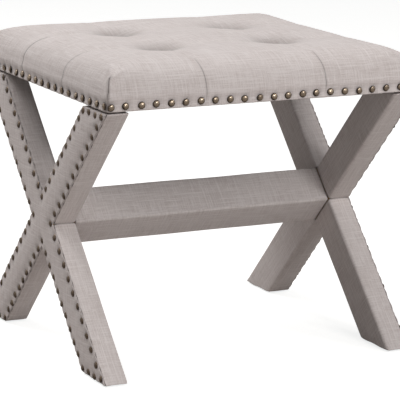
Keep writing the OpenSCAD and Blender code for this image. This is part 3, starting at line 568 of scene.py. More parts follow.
class CushionForm:
    """The cushion's grid: its stations, its rings and the surface they lie on."""

    def __init__(self, sizes, coarse=1.0):
        self.sizes = sizes
        self.hx, self.hy = sizes.half_length, sizes.half_depth
        self.sx = self.stations(self.hx, sizes.tuft_x, coarse)
        self.sy = self.stations(self.hy, sizes.tuft_y, coarse)

    def stations(self, half, tuft, coarse):
        """Places of the grid's lines from edge to edge, closest at the tufts and the edges."""
        reach = self.sizes.shoulder_reach

        def step(at):
            """How far the next line is from a place."""
            size = min(self.sizes.grid_step, 0.0006 + 0.16 * abs(at - tuft))
            edge = half - at
            size = min(size, 0.0008 + 0.05 * max(edge, 0))
            if edge < reach:
                size = min(size, 0.0030)
            return size * coarse

        right = np.concatenate([march(tuft, 0, step)[::-1], march(tuft, half, step)[1:]])
        return np.concatenate([-right[:0:-1], right])

    def inset(self, x, y):
        """How far places are in from the edge."""
        return np.minimum(self.hx - np.abs(x), self.hy - np.abs(y))

    def by_long_side(self, ax, ay):
        """Whether places are nearer to the front or the back than to an end."""
        return (self.hy - ay) <= (self.hx - ax)

    def ring_radius(self, inset):
        """Radius of a ring's corners: it grows round the shoulder and is gone by the tufts."""
        reach = self.sizes.shoulder_reach
        grown = self.sizes.corner + 0.8 * np.clip(inset - 0.004, 0, reach)
        return grown * (1 - ease((inset - reach) / 0.075))

    def corner_turn(self, long_side, share_x, share_y):
        """Angle round a corner of places that lie so far along its two sides."""
        share = np.where(long_side, share_x, share_y)
        return np.where(long_side, math.pi / 2 - math.pi / 4 * share, math.pi / 4 * share)

    def plan(self, x, y):
        """Moves the places of square rings on to rings with round corners."""
        inset = self.inset(x, y)
        radius = np.maximum(self.ring_radius(inset), 1e-6)
        cx, cy = self.hx - inset - radius, self.hy - inset - radius
        ax, ay = np.abs(x), np.abs(y)
        turn = self.corner_turn(self.by_long_side(ax, ay), (ax - cx) / radius, (ay - cy) / radius)
        inside = (ax > cx) & (ay > cy)
        px = np.where(inside, cx + radius * np.cos(turn), ax)
        py = np.where(inside, cy + radius * np.sin(turn), ay)
        return np.sign(x) * px, np.sign(y) * py, inset

    def rise(self, inset, power):
        """The shoulder's rise from 0 to 1: round at power 2 and fuller above it."""
        turn = np.clip(1 - inset / self.sizes.shoulder_reach, 0, 1)
        return (1 - turn ** power) ** (1 / power)

    def surface(self):
        """Points of the top before its pleats, row by row."""
        s = self.sizes
        gx, gy = np.meshgrid(self.sx, self.sy)
        x, y, inset = self.plan(gx, gy)
        ax, ay = np.abs(x), np.abs(y)
        # The shoulder is fuller at the ends, towards a corner and at its very tip, and droops
        # a little round the tip
        from_corner = np.hypot(self.hx - ax, self.hy - ay)
        by_corner = bell(from_corner, 0.060)
        at_ends = (self.hx - ax) < (self.hy - ay)
        power = 1.76 + 0.75 * by_corner + 0.3 * at_ends * (1 - by_corner)
        power += 1.4 * bell(np.maximum(0, from_corner - 0.004), 0.009)
        droop = 1 - 0.05 * bell(from_corner, 0.030)
        crown = s.crown * (1 - (x / self.hx) ** 2) * (1 - (y / self.hy) ** 2)
        # A pit at each tuft, valleys from tuft to tuft and shallow ones out to the edge
        off_x, off_y = ax - s.tuft_x, ay - s.tuft_y
        past_x, past_y = ease(off_x / 0.02), ease(off_y / 0.02)
        away = np.hypot(off_x, off_y)
        dimple = 0.80 * pit(away, 0.0172, 1.6) + 0.20 * bell(away, 0.055)
        valley = bell(off_x, 0.017) * (1 - past_y) + bell(off_y, 0.017) * (1 - past_x)
        outward = bell(off_x, 0.022) * past_y + bell(off_y, 0.022) * past_x
        drop = s.tuft_depth * dimple + (s.valley_depth * valley + 0.0006 * outward) * (1 - dimple)
        z = s.shoulder_base + self.rise(inset, power) * (s.shoulder_rise + crown - drop) * droop
        return np.stack([x, y, z], -1)

    def edge_loop(self):
        """Rows and columns of the grid's edge, anticlockwise seen from above."""
        last_x, last_y = len(self.sx) - 1, len(self.sy) - 1
        loop = [(0, i) for i in range(last_x)] + [(j, last_x) for j in range(last_y)]
        loop += [(last_y, i) for i in range(last_x, 0, -1)] + [(j, 0) for j in range(last_y, 0, -1)]
        return np.array(loop)

    def side_ring(self, loop, z, inset):
        """The edge's places at one height, set in evenly."""
        x, y = self.sx[loop[:, 1]], self.sy[loop[:, 0]]
        corner = self.sizes.corner
        radius = max(corner - inset, 0.0006)
        ax, ay = np.abs(x), np.abs(y)
        long_side = self.by_long_side(ax, ay)
        cx0, cy0 = self.hx - corner, self.hy - corner
        cx, cy = self.hx - inset - radius, self.hy - inset - radius
        turn = self.corner_turn(long_side, (ax - cx0) / corner, (ay - cy0) / corner)
        inside = (ax > cx0) & (ay > cy0)
        straight_x = np.where(long_side, ax * cx / cx0, self.hx - inset)
        straight_y = np.where(long_side, self.hy - inset, ay * cy / cy0)
        px = np.where(inside, cx + radius * np.cos(turn), straight_x)
        py = np.where(inside, cy + radius * np.sin(turn), straight_y)
        return np.stack([np.sign(x) * px, np.sign(y) * py, np.full(len(x), z)], -1)

    def faces(self, loop, bands):
        """Faces of the top and of so many rings that hang below its edge."""
        rows, columns, size = len(self.sy), len(self.sx), len(loop)
        quads, upper = [grid_quads(rows, columns)], loop[:, 0] * columns + loop[:, 1]
        for k in range(bands):
            lower = rows * columns + k * size + np.arange(size)
            quads.append(np.stack([lower, np.roll(lower, -1), np.roll(upper, -1), upper], -1))
            upper = lower
        return np.concatenate(quads)


# Height and inset of the rings down the side, to the nails, under the edge and up inside
SIDE_RINGS = (
    (0.4284, -0.0003), (0.4266, -0.0007), (0.4246, -0.0009), (0.4226, -0.0008), (0.4206, -0.0004),
    (0.4188, 0.0001), (0.4170, 0.0006), (0.4153, 0.0010), (0.4137, 0.0013), (0.4121, 0.0016),
    (0.4106, 0.0018), (0.4092, 0.0019), (0.4078, 0.0019), (0.4064, 0.0017), (0.4050, 0.0014),
    (0.4036, 0.0012), (0.4024, 0.0012), (0.4014, 0.0015), (0.4007, 0.0022), (0.4004, 0.0032),
    (0.4003, 0.0050), (0.4003, 0.0170), (0.4007, 0.0172), (0.40075, 0.0036), (0.4280, 0.0035),
)
WORKED_RINGS = 20  # rings in sight, which take the pleats, seams and dimples


def seat_nail_places(cushion, nails):
    """Places and outward directions of the nails round the seat's edge."""
    z = UNDERSIDE + nails.border_height
    end_x, end_y = cushion.half_length - 0.008, cushion.half_depth - 0.0105
    face_x, face_y = cushion.half_length - NAIL_SINK, cushion.half_depth - NAIL_SINK
    along = np.linspace(-end_x, end_x, nails.long_row)
    across = np.linspace(-end_y, end_y, nails.short_row)
    places, facings = [], []
    for side in (-1, 1):
        places += [(x, side * face_y, z) for x in along]
        facings += [(0, side, 0)] * len(along)
        places += [(side * face_x, y, z) for y in across]
        facings += [(side, 0, 0)] * len(across)
    return np.array(places), np.array(facings, float)


def settle(sizes):
    """Lets air pressure swell the fabric between its tufts, pleats and border.

    Returns the stations of a coarse grid and how far each of its places moves."""
    coarse, slack, furthest, moments = 2.4, 0.0030, 0.007, 20
    form = CushionForm(sizes, coarse)
    top = form.surface()
    rows, columns = top.shape[:2]
    loop = form.edge_loop()
    rings = [form.side_ring(loop, z, inset) for z, inset in SIDE_RINGS[1:8:2]]
    points = np.concatenate([top.reshape(-1, 3)] + rings)
    quads = form.faces(loop, len(rings))
    ax, ay = np.abs(points[:, 0]), np.abs(points[:, 1])
    away = np.hypot(ax - sizes.tuft_x, ay - sizes.tuft_y)
    held = 1 - ease((away - 0.010) / 0.010)
    pleat = np.maximum(cusp(ax - sizes.tuft_x, 0.004) * (ay > sizes.tuft_y),
                       cusp(ay - sizes.tuft_y, 0.004) * (ax > sizes.tuft_x))
    held = np.maximum(held, 0.35 * pleat)
    held[-len(loop):] = 1
    normals = corner_normals(points, quads)
    start = points - normals * (slack * (1 - held))[:, None]
    piece = make_piece("settling_cushion", start, quads)
    group = piece.vertex_groups.new(name="held")
    for index in np.nonzero(held > 0.02)[0]:
        group.add([int(index)], float(held[index]), "REPLACE")
    cloth = piece.modifiers.new("cloth", "CLOTH")
    fabric = cloth.settings
    fabric.quality = 6
    fabric.mass = 0.3
    fabric.tension_stiffness = fabric.compression_stiffness = 12
    fabric.shear_stiffness = 4
    fabric.bending_stiffness = 0.6
    fabric.use_pressure = True
    fabric.uniform_pressure_force = 4
    fabric.effector_weights.gravity = 0
    fabric.vertex_group_mass = "held"
    cloth.collision_settings.use_collision = False
    cloth.point_cache.frame_start, cloth.point_cache.frame_end = 1, moments
    scene = bpy.context.scene
    for moment in range(1, moments + 1):
        scene.frame_set(moment)
    evaluated = piece.evaluated_get(bpy.context.evaluated_depsgraph_get())
    ends = np.zeros(len(points) * 3)
    evaluated.data.vertices.foreach_get("co", ends)
    moved = ends.reshape(-1, 3) - points
    bpy.data.objects.remove(piece)
    scene.frame_set(1)
    way = np.linalg.norm(moved, axis=1)
    moved *= (np.minimum(way, furthest) / np.maximum(way, 1e-9))[:, None]
    return form.sx, form.sy, moved[:rows * columns].reshape(rows, columns, 3)


def between_stations(fine, coarse):
    """Index and share of each fine station between two coarse ones."""
    index = np.clip(np.searchsorted(coarse, fine) - 1, 0, len(coarse) - 2)
    return index, np.clip((fine - coarse[index]) / (coarse[index + 1] - coarse[index]), 0, 1)


def cushion_parts(sizes, nails):
    """Points, faces, UVs, painted-shade crease mask and cap of the cushion."""
    form = CushionForm(sizes)
    top = form.surface()
    rows, columns = top.shape[:2]
    moved = np.zeros_like(top)
    sx, sy, field = settle(sizes)
    i, u = between_stations(form.sx, sx)
    j, v = between_stations(form.sy, sy)
    across = field[:, i] * (1 - u)[:, None] + field[:, i + 1] * u[:, None]
    moved = across[j] * (1 - v)[:, None, None] + across[j + 1] * v[:, None, None]
    away = np.hypot(np.abs(top[..., 0]) - sizes.tuft_x, np.abs(top[..., 1]) - sizes.tuft_y)
    moved *= (0.85 - 0.75 * bell(away, 0.042))[..., None]
    top = top + moved
    loop = form.edge_loop()
    rings = [form.side_ring(loop, z, inset) for z, inset in SIDE_RINGS]
    at_edge = moved[loop[:, 0], loop[:, 1]] * np.array([1, 1, 0])
    rings[:-1] = [ring + at_edge * float(ease((ring[0, 2] - 0.416) / 0.014)) for ring in rings[:-1]]
    points = np.concatenate([top.reshape(-1, 3)] + rings)
    size, start, bands = len(loop), rows * columns, len(rings)
    quads = form.faces(loop, bands)
    gx, gy = np.meshgrid(form.sx, form.sy)
    ring_x, ring_y = form.sx[loop[:, 1]], form.sy[loop[:, 0]]
    flat_x = np.concatenate([gx.ravel()] + [ring_x] * bands)
    flat_y = np.concatenate([gy.ravel()] + [ring_y] * bands)
    on_side = np.arange(len(points)) >= start
    level = points[:, 2].copy()
    add_unevenness(form, points, quads, flat_x, flat_y, on_side, level)
    depth, crease_shade = pleat_depths(form, sizes, nails, points, flat_x, flat_y, on_side)
    normals = corner_normals(points, quads)
    worked = np.arange(len(points)) < start + WORKED_RINGS * size
    depth = np.where(worked, depth, 0)
    points = points - normals * depth[:, None]
    uv = cushion_uv(form, sizes, points, quads, flat_x, flat_y, level, on_side)
    cap = (start + (bands - 1) * size + np.arange(size)).tolist()
    return points, quads, uv, np.where(worked, crease_shade, 0), [cap[::-1]]


def add_unevenness(form, points, quads, flat_x, flat_y, on_side, level):
    """Moves the points by a slow unevenness of the filling below the fabric."""
    normals = corner_normals(points, quads)
    strength = 0.00045 + 0.0007 * ease(form.inset(flat_x, flat_y) / 0.02)
    wobble = unevenness(points, 0.30, 11) * strength
    above_nails = (level > 0.4030) & (~on_side | (level > 0.414))
    points += normals * np.where(above_nails, wobble, 0)[:, None]


def add_pleats(form, s, z, flat_x, flat_y, on_side, depth, crease_shade):
    """Adds the pleats from the tufts out over the shoulder, and the folds between tufts.

    A pleat is a sharp line in a soft hollow, with a lip on the side away from the middle. The
    pleats and the tufts' pits get painted shade in the crease mask."""
    above_nails, shoulder, top, fold_depth = 0.4085, 0.430, 0.462, 0.0007
    ax, ay, inset = np.abs(flat_x), np.abs(flat_y), form.inset(flat_x, flat_y)
    long_side = form.by_long_side(ax, ay)
    fade = ease((z - above_nails) / 0.012)
    for across, along, tuft_a, tuft_b, mine, line_width in (
            (ax, ay, s.tuft_x, s.tuft_y, long_side, 0.0007),
            (ay, ax, s.tuft_y, s.tuft_x, ~long_side, 0.0010)):
        off, past = across - tuft_a, along - tuft_b
        outward = ease((past - 0.004) / 0.012)
        to_middle = ease((tuft_b * 0.62 - along) / (tuft_b * 0.4))
        inward = ease((-past - 0.006) / 0.012) * (1 - to_middle)
        share = np.where(on_side, ease((z - 0.404) / 0.030), 1.0)
        full = s.side_pleat_depth + (s.pleat_depth - s.side_pleat_depth) * np.where(
            on_side, 0, ease((z - shoulder) / 0.028))
        lip = np.where(off > 0, cusp(off, 0.0065) * 0.45, 0.0)
        section = 0.55 * cusp(off, 0.0019) + 0.45 * bell(off, 0.0085) - 0.35 * lip
        where = mine | (~on_side & (z > top))
        strength = np.where(where, (outward * full * share * np.where(on_side, fade, 1)
                                    + inward * fold_depth * ~on_side), 0)
        depth += strength * section
        # The painted shade line along each pleat is strong down the side and near the tuft, and
        # faint over the shoulder
        line = 0.72 * cusp(off, line_width) + 0.07 * cusp(off, 0.0030)
        on_top = np.maximum(1 - 0.85 * ease((inset - 0.020) / 0.035),
                            0.45 * bell(past - 0.012, 0.012))
        mark = np.where(where, outward * np.where(on_side, 0.25 + 0.75 * fade, on_top)
                        + 0.12 * inward * ~on_side, 0)
        np.maximum(crease_shade, line * mark * (z > 0.4045), out=crease_shade)
    # Painted shade in each tuft's pit
    away = np.hypot(ax - s.tuft_x, ay - s.tuft_y)
    np.maximum(crease_shade, np.where(on_side, 0, 0.54 * pit(away, 0.0220, 1.7)), out=crease_shade)


def add_corner_seams(form, s, points, depth, crease_shade):
    """Adds the seam up each corner and the pucker at its top, with painted shade along the seam and
    in the pucker.
    """
    seam_top, nail_row, z = 0.4490, 0.409, points[:, 2]
    mid_corner = s.corner * 0.293  # 1 - cos(45 degrees)
    corner_x, corner_y = form.hx - mid_corner, form.hy - mid_corner
    px, py = np.abs(points[:, 0]), np.abs(points[:, 1])
    off_seam = np.abs((form.hx - px) - (form.hy - py)) / math.sqrt(2)
    near_corner = np.hypot(px - corner_x, py - corner_y) < 0.045
    below = 1 - ease((z - 0.4475) / 0.0035)
    seam = np.where(near_corner, below, 0) * (0.25 + 0.75 * ease((z - nail_row) / 0.018))
    depth += seam * s.seam_depth * (0.75 * cusp(off_seam, 0.0011) + 0.25 * bell(off_seam, 0.006))
    # Painted shade along the seam line
    np.maximum(crease_shade, seam * 0.98 * cusp(off_seam, 0.0009), out=crease_shade)
    pucker = np.sqrt(off_seam ** 2 + (z - seam_top) ** 2)
    depth += np.where(near_corner, 0.0011 * bell(pucker, 0.0034), 0)
    # Painted shade in the pucker
    np.maximum(crease_shade, np.where(near_corner, 0.95 * bell(pucker, 0.0023), 0), out=crease_shade)


def add_nail_dimples(s, nails, points, depth, crease_shade):
    """Adds the dimple that each border nail presses in, with a short pull above it, and painted
    shade round the nail.
    """
    reach, low = 0.006, points[:, 2] < 0.432
    for place, facing in zip(*seat_nail_places(s, nails)):
        mine = low & ((points[:, :2] @ facing[:2]) > place[:2] @ facing[:2] - reach)
        away = points[mine] - place
        side = away[:, 0] * facing[1] + away[:, 1] * facing[0]
        up = away[:, 2]
        gap = np.hypot(side, up)
        pull = 0.0011 * bell(gap, 0.0078)
        pull += np.where(up > 0, 0.00045 * bell(side, 0.0022) * cusp(up - 0.006, 0.006), 0)
        depth[mine] += pull
        # Painted shade in the dimple round the nail
        crease_shade[mine] = np.maximum(crease_shade[mine], 0.42 * bell(gap, 0.0066))


def pleat_depths(form, s, nails, points, flat_x, flat_y, on_side):
    """How deep each point is drawn in by pleats, seams and nails, and how much painted shade its
    crease mask gives it.
    """
    depth, crease_shade = np.zeros(len(points)), np.zeros(len(points))
    add_pleats(form, s, points[:, 2], flat_x, flat_y, on_side, depth, crease_shade)
    add_corner_seams(form, s, points, depth, crease_shade)
    add_nail_dimples(s, nails, points, depth, crease_shade)
    return depth, np.clip(crease_shade, 0, 1)


def cushion_uv(form, s, points, quads, flat_x, flat_y, level, on_side):
    """UVs in metres: the weave runs straight over the top and down each side.

    The shoulder's curve is longer than its plan, and the surplus moves the UVs outwards."""
    inset = np.linspace(0, s.shoulder_reach, 200)
    height = form.rise(inset, 1.75) * s.shoulder_rise
    slope = np.diff(height) / np.diff(inset)
    extra = np.concatenate([[0], np.cumsum((np.hypot(1, slope) - 1)[::-1] * np.diff(inset))])[::-1]
    surplus = np.interp(form.inset(flat_x, flat_y), inset, extra)
    surplus = np.where(on_side, extra[0] + s.shoulder_base - level, surplus)
    u_long, v_long = points[:, 0], points[:, 1] + np.sign(flat_y) * surplus
    u_end, v_end = points[:, 0] + np.sign(flat_x) * surplus, points[:, 1]
    middle_x = np.abs(flat_x[quads]).mean(1)
    middle_y = np.abs(flat_y[quads]).mean(1)
    long_face = form.by_long_side(middle_x, middle_y)[:, None]
    return np.stack([np.where(long_face, u_long[quads], u_end[quads]),
                     np.where(long_face, v_long[quads], v_end[quads])], -1)


class BENCH_OT_cushion(bpy.types.Operator):
    """Makes the tufted cushion and hides the plain cover, foam and band"""
    bl_idname = "bench.cushion"
    bl_label = "Tufted cushion"

    def execute(self, context):
        sizes, nails = context.scene.bench_cushion, context.scene.bench_nails
        points, quads, uv, crease_shade, caps = cushion_parts(sizes, nails)
        piece = make_piece("seat_cushion", points, quads, uv, {"crease_shade": crease_shade}, caps)
        finish_piece(piece, linen_material(), ("seat_cover", "seat_foam", "border_band"))
        return {"FINISHED"}


class BENCH_OT_buttons(bpy.types.Operator):
    """Makes the fabric-covered buttons in the tufts"""
    bl_idname = "bench.buttons"
    bl_label = "Tuft buttons"

    def execute(self, context):
        low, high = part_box("tuft_buttons")
        s = context.scene.bench_cushion
        radius = high[0] - s.tuft_x
        rings, sides = 9, 32
        half = (high[2] - low[2]) / 2
        parts, caps = [], []
        turn = np.linspace(0, math.pi, rings + 1)[1:-1]
        t, a = np.meshgrid(turn, np.arange(sides) / sides * math.tau, indexing="ij")
        for k, (sx, sy) in enumerate(((-1, -1), (1, -1), (-1, 1), (1, 1))):
            pull = 1 + 0.025 * np.sin(a * 11 + k) * np.sin(t) ** 6
            ring = np.sin(t) ** 0.72 * radius * pull
            z = low[2] + half + half * np.cos(t) * np.where(t > math.pi / 2, 0.94, 1.0)
            p = np.stack([sx * s.tuft_x + ring * np.cos(a), sy * s.tuft_y + ring * np.sin(a), z],
                         -1).reshape(-1, 3)
            q = grid_quads(rings - 1, sides, wrap_columns=True)[:, ::-1]
            x, y, up = p[q][..., 0], p[q][..., 1], p[q][..., 2] - low[2]
            uv = np.stack([x + 0.01 * k, y + up * 0.6], -1)
            # Painted shade on each button, darker towards its lower side
            parts.append((p, q, uv, 0.30 + 0.40 * ease((t.ravel() - 1.25) / 0.7)))
        points, quads, uv, crease_shade = join_parts(parts)
        size = (rings - 1) * sides
        for k in range(len(parts)):
            caps.append(list(range(k * size, k * size + sides)))
            caps.append(list(range((k + 1) * size - 1, (k + 1) * size - sides - 1, -1)))
        piece = make_piece("covered_buttons", points, quads, uv, {"crease_shade": crease_shade}, caps)
        finish_piece(piece, linen_material(), ("tuft_buttons",))
        return {"FINISHED"}


# Nails and staples ------------------------------------------------------------------

@built_once("domed_nails")
def nail_tree(name):
    """Geometry nodes: a domed nail on each point, facing along the point's attribute."""
    g, given, out = new_tree(name, "GeometryNodeTree", [
        ("Points", GEOMETRY, None), ("Head", FLOAT, 0.011), ("Dome", FLOAT, 0.0028),
        ("Shank", FLOAT, 0.007), ("Tilt", FLOAT, 0.22), ("Drift", FLOAT, 0.0011),
        ("Seed", WHOLE, 3), ("Finish", MATERIAL, None)], [("Nails", GEOMETRY)])
    # The nail: the upper half of a ball is the dome, the lower half its nearly flat back
    ball = g.node("GeometryNodeMeshUVSphere", {"Segments": 12, "Rings": 8, "Radius": 1.0})
    place = g.node("ShaderNodeSeparateXYZ", {0: g.node("GeometryNodeInputPosition").outputs[0]})
    radius = g.math("MULTIPLY", given.outputs["Head"], 0.5)
    up = g.math("MAXIMUM", place.outputs[2], 0.0)
    low = g.math("MINIMUM", place.outputs[2], 0.0)
    height = g.math("MULTIPLY_ADD", up, given.outputs["Dome"], g.math("MULTIPLY", low, 0.0003))
    spot = g.node("ShaderNodeCombineXYZ", {
        0: g.math("MULTIPLY", place.outputs[0], radius),
        1: g.math("MULTIPLY", place.outputs[1], radius), 2: height})
    crown = g.node("GeometryNodeStoreNamedAttribute", {
        "Geometry": ball.outputs[0], "Name": "crown", "Value": up},
        data_type="FLOAT", domain="POINT")
    dome = g.node("GeometryNodeSetPosition", {
        "Geometry": crown.outputs[0], "Position": spot.outputs[0]})
    spike = g.node("GeometryNodeMeshCone", {
        "Vertices": 5, "Radius Top": 0.0002, "Radius Bottom": 0.0008,
        "Depth": given.outputs["Shank"]})
    turned = g.node("GeometryNodeTransform", {
        "Geometry": spike.outputs[0], "Rotation": (math.pi, 0, 0)})
    nail = g.node("GeometryNodeJoinGeometry")
    g.put(nail.inputs[0], turned)
    g.put(nail.inputs[0], dome)
    smooth = g.node("GeometryNodeSetShadeSmooth", {"Geometry": nail.outputs[0]})
    # Its turn: along the attribute, spun about itself and leaning by up to Tilt
    facing = g.node("GeometryNodeInputNamedAttribute", {"Name": "facing"},
                    data_type="FLOAT_VECTOR")
    aligned = g.node("FunctionNodeAlignRotationToVector", {"Vector": facing.outputs[0]}, axis="Z")
    tilt = given.outputs["Tilt"]
    less = g.math("MULTIPLY", tilt, -1.0)
    lean = g.node("FunctionNodeRandomValue", {"Seed": given.outputs["Seed"]},
                  data_type="FLOAT_VECTOR")
    g.put(lean.inputs[0], g.node("ShaderNodeCombineXYZ", {0: less, 1: less, 2: 0.0}))
    g.put(lean.inputs[1], g.node("ShaderNodeCombineXYZ", {0: tilt, 1: tilt, 2: 6.28}))
    leaning = g.node("FunctionNodeRotateRotation", {"Rotation": aligned.outputs[0]},
                     rotation_space="LOCAL")
    g.put(leaning.inputs["Rotate By"], g.node("FunctionNodeEulerToRotation", {0: lean.outputs[0]}))
    # Its place: strayed by up to Drift within the surface
    stray = g.node("FunctionNodeRandomValue", {"Seed": given.outputs["Seed"]},
                   data_type="FLOAT_VECTOR")
    g.put(stray.inputs[0], (-1, -1, -1))
    g.put(stray.inputs[1], (1, 1, 1))
    g.put(stray.inputs["ID"], g.node("GeometryNodeInputIndex"))
    moved = g.scaled(stray.outputs[0], given.outputs["Drift"])
    along = g.node("ShaderNodeVectorMath", {0: moved, 1: facing.outputs[0]},
                   operation="DOT_PRODUCT")
    outward = g.scaled(facing.outputs[0], along.outputs["Value"])
    aside = g.node("ShaderNodeVectorMath", {0: moved, 1: outward}, operation="SUBTRACT")
    strayed = g.node("GeometryNodeSetPosition", {
        "Geometry": given.outputs["Points"], "Offset": aside.outputs[0]})
    nails = g.node("GeometryNodeInstanceOnPoints", {
        "Points": strayed.outputs[0], "Instance": smooth.outputs[0],
        "Rotation": leaning.outputs[0]})
    real = g.node("GeometryNodeRealizeInstances", {"Geometry": nails.outputs[0]})
    made = g.node("GeometryNodeSetMaterial", {
        "Geometry": real.outputs[0], "Material": given.outputs["Finish"]})
    g.put(out.inputs[0], made)


@built_once("cloth_staples")
def staple_tree(name):
    """Geometry nodes: a flat-crowned staple on each point, its crown along the attribute."""
    g, given, out = new_tree(name, "GeometryNodeTree", [
        ("Points", GEOMETRY, None), ("Crown", FLOAT, 0.0095), ("Wire", FLOAT, 0.0007),
        ("Leg", FLOAT, 0.004), ("Tilt", FLOAT, 0.12), ("Seed", WHOLE, 5),
        ("Finish", MATERIAL, None)], [("Staples", GEOMETRY)])
    wire, crown, leg = (given.outputs[k] for k in ("Wire", "Crown", "Leg"))
    staple = g.node("GeometryNodeJoinGeometry")
    size = g.node("ShaderNodeCombineXYZ", {0: crown, 1: wire, 2: wire})
    g.put(staple.inputs[0], g.node("GeometryNodeMeshCube", {"Size": size}))
    for side in (-1, 1):
        spot = g.node("ShaderNodeCombineXYZ", {
            0: g.math("MULTIPLY", g.math("SUBTRACT", crown, wire), side * 0.5),
            1: 0.0, 2: g.math("MULTIPLY", leg, -0.5)})
        size = g.node("ShaderNodeCombineXYZ", {0: wire, 1: wire, 2: leg})
        prong = g.node("GeometryNodeMeshCube", {"Size": size})
        g.put(staple.inputs[0], g.node("GeometryNodeTransform", {
            "Geometry": prong.outputs[0], "Translation": spot.outputs[0]}))
    lie = g.node("GeometryNodeInputNamedAttribute", {"Name": "lie"}, data_type="FLOAT")
    less = g.math("MULTIPLY", given.outputs["Tilt"], -1.0)
    lean = g.node("FunctionNodeRandomValue", {"Seed": given.outputs["Seed"]}, data_type="FLOAT")
    g.put(lean.inputs[2], less)
    g.put(lean.inputs[3], given.outputs["Tilt"])
    spin = g.math("ADD", lie.outputs[0], lean.outputs[1])
    turned = g.node("ShaderNodeCombineXYZ", {0: math.pi, 1: 0.0, 2: spin})
    staples = g.node("GeometryNodeInstanceOnPoints", {
        "Points": given.outputs["Points"], "Instance": staple.outputs[0],
        "Rotation": g.node("FunctionNodeEulerToRotation", {0: turned.outputs[0]}).outputs[0]})
    real = g.node("GeometryNodeRealizeInstances", {"Geometry": staples.outputs[0]})
    made = g.node("GeometryNodeSetMaterial", {
        "Geometry": real.outputs[0], "Material": given.outputs["Finish"]})
    g.put(out.inputs[0], made)


def scattered_piece(name, places, attributes, tree, values):
    """A plain mesh made by a geometry tree from a cloud of points."""
    mesh = bpy.data.meshes.new(name)
    mesh.from_pydata(np.asarray(places).tolist(), [], [])
    for attribute, (kind, field, data) in attributes.items():
        mesh.attributes.new(attribute, kind, "POINT").data.foreach_set(
            field, np.asarray(data, np.float32).ravel())
    piece = bpy.data.objects.new(name, mesh)
    bpy.context.scene.collection.objects.link(piece)
    modifier = piece.modifiers.new("scatter", "NODES")
    modifier.node_group = tree
    for item in tree.interface.items_tree:
        if item.item_type == "SOCKET" and item.in_out == "INPUT" and item.name in values:
            modifier[item.identifier] = values[item.name]
    bpy.context.view_layer.update()
    evaluated = piece.evaluated_get(bpy.context.evaluated_depsgraph_get())
    plain = bpy.data.meshes.new_from_object(evaluated)
    piece.modifiers.clear()
    piece.data = plain
    plain.name = name
    return piece


def nailed_piece(name, places, facings, seed, nodes, shaded=False):
    """Domed nails at the places, as one piece in the CAD nails' stead."""
    nails = bpy.context.scene.bench_nails
    brass = brass_material(shaded)
    values = {"Head": nails.head, "Dome": nails.dome, "Shank": nails.shank, "Tilt": nails.tilt,
              "Drift": nails.drift, "Seed": seed, "Finish": brass}
    piece = scattered_piece(name, places, {"facing": ("FLOAT_VECTOR", "vector", facings)},
                            nail_tree(), values)
    if len(piece.data.polygons) < 40 * len(places):
        raise RuntimeError(f"{name} has too few faces for its {len(places)} nails")
    return finish_piece(piece, brass, nodes)


class BENCH_OT_border_nails(bpy.types.Operator):
    """Sets the domed nails round the seat's lower edge"""
    bl_idname = "bench.border_nails"
    bl_label = "Border nails"

    def execute(self, context):
        places, facings = seat_nail_places(context.scene.bench_cushion, context.scene.bench_nails)
        nailed_piece("border_nails", places, facings, 3, (
            "front_border_nails", "back_border_nails", "left_border_nails", "right_border_nails"))
        return {"FINISHED"}


# End frames -------------------------------------------------------------------------

# The two frames, and the four limbs of each: front or back, lower or upper
SIDES = ((-1, "left"), (1, "right"))
LIMBS = ((-1, -1), (-1, 1), (1, -1), (1, 1))


class CrossForm:
    """The crossed arms' outline about their crossing, in Y and Z."""

    def __init__(self, sizes):
        self.width = sizes.arm_width
        self.rise = (WRAP_HIGH[2] - WRAP_LOW[2]) / 2
        spread = WRAP_HIGH[1] - WRAP_LOW[1]
        self.level = (WRAP_HIGH[2] + WRAP_LOW[2]) / 2
        diagonal = math.hypot(spread, 2 * self.rise)
        self.slope = math.atan2(2 * self.rise, spread) + math.asin(self.width / diagonal)
        self.cos, self.sin = math.cos(self.slope), math.sin(self.slope)

    def place(self, front, upper, along, off):
        """A place on a limb: so far along it, so far off its middle, outward positive."""
        return (front * (along * self.cos + off * self.sin),
                upper * (along * self.sin - off * self.cos))

    def limb_start(self, off):
        """How far along a limb the crossing ends."""
        half = self.width / 2
        outer, inner = half / math.tan(self.slope), half * math.tan(self.slope)
        return inner + (outer - inner) * (off + half) / (2 * half)

    def limb_end(self, off):
        """How far along a limb its level end lies."""
        return (self.rise + off * self.cos) / self.sin

    def nails(self):
        """The frame's nail places in Y and Z about the crossing."""
        outer_count, inner_count = 11, 10
        offset, rise = self.width / 2 - 0.007, self.rise - 0.006
        outer_start, inner_start = offset / math.tan(self.slope), offset * math.tan(self.slope)
        outer_end = (rise + offset * self.cos) / self.sin
        inner_end = (rise - offset * self.cos) / self.sin

        def after(first, final, count):
            """Even places after the first one, up to the final one."""
            return first + (final - first) * np.arange(1, count + 1) / count

        places = [(s * offset / self.sin, 0.0) for s in (-1, 1)]
        places += [(0.0, s * offset / self.cos) for s in (-1, 1)]
        for front, upper in LIMBS:
            places += [self.place(front, upper, t, offset)
                       for t in after(outer_start, outer_end, outer_count)]
            places += [self.place(front, upper, t, -offset)
                       for t in after(inner_start, inner_end, inner_count)]
            a = np.array(self.place(front, upper, outer_end, offset))
            b = np.array(self.place(front, upper, inner_end, -offset))
            places += [tuple(a + (b - a) * t) for t in (1 / 3, 2 / 3)]
        return np.array(places)


def mirrored(part, side):
    """The part for the right frame, or the left one as it is."""
    points, quads, uv, crease_shade = part
    if side < 0:
        return part
    return points * np.array([-1, 1, 1]), quads[:, ::-1], uv[:, ::-1], crease_shade


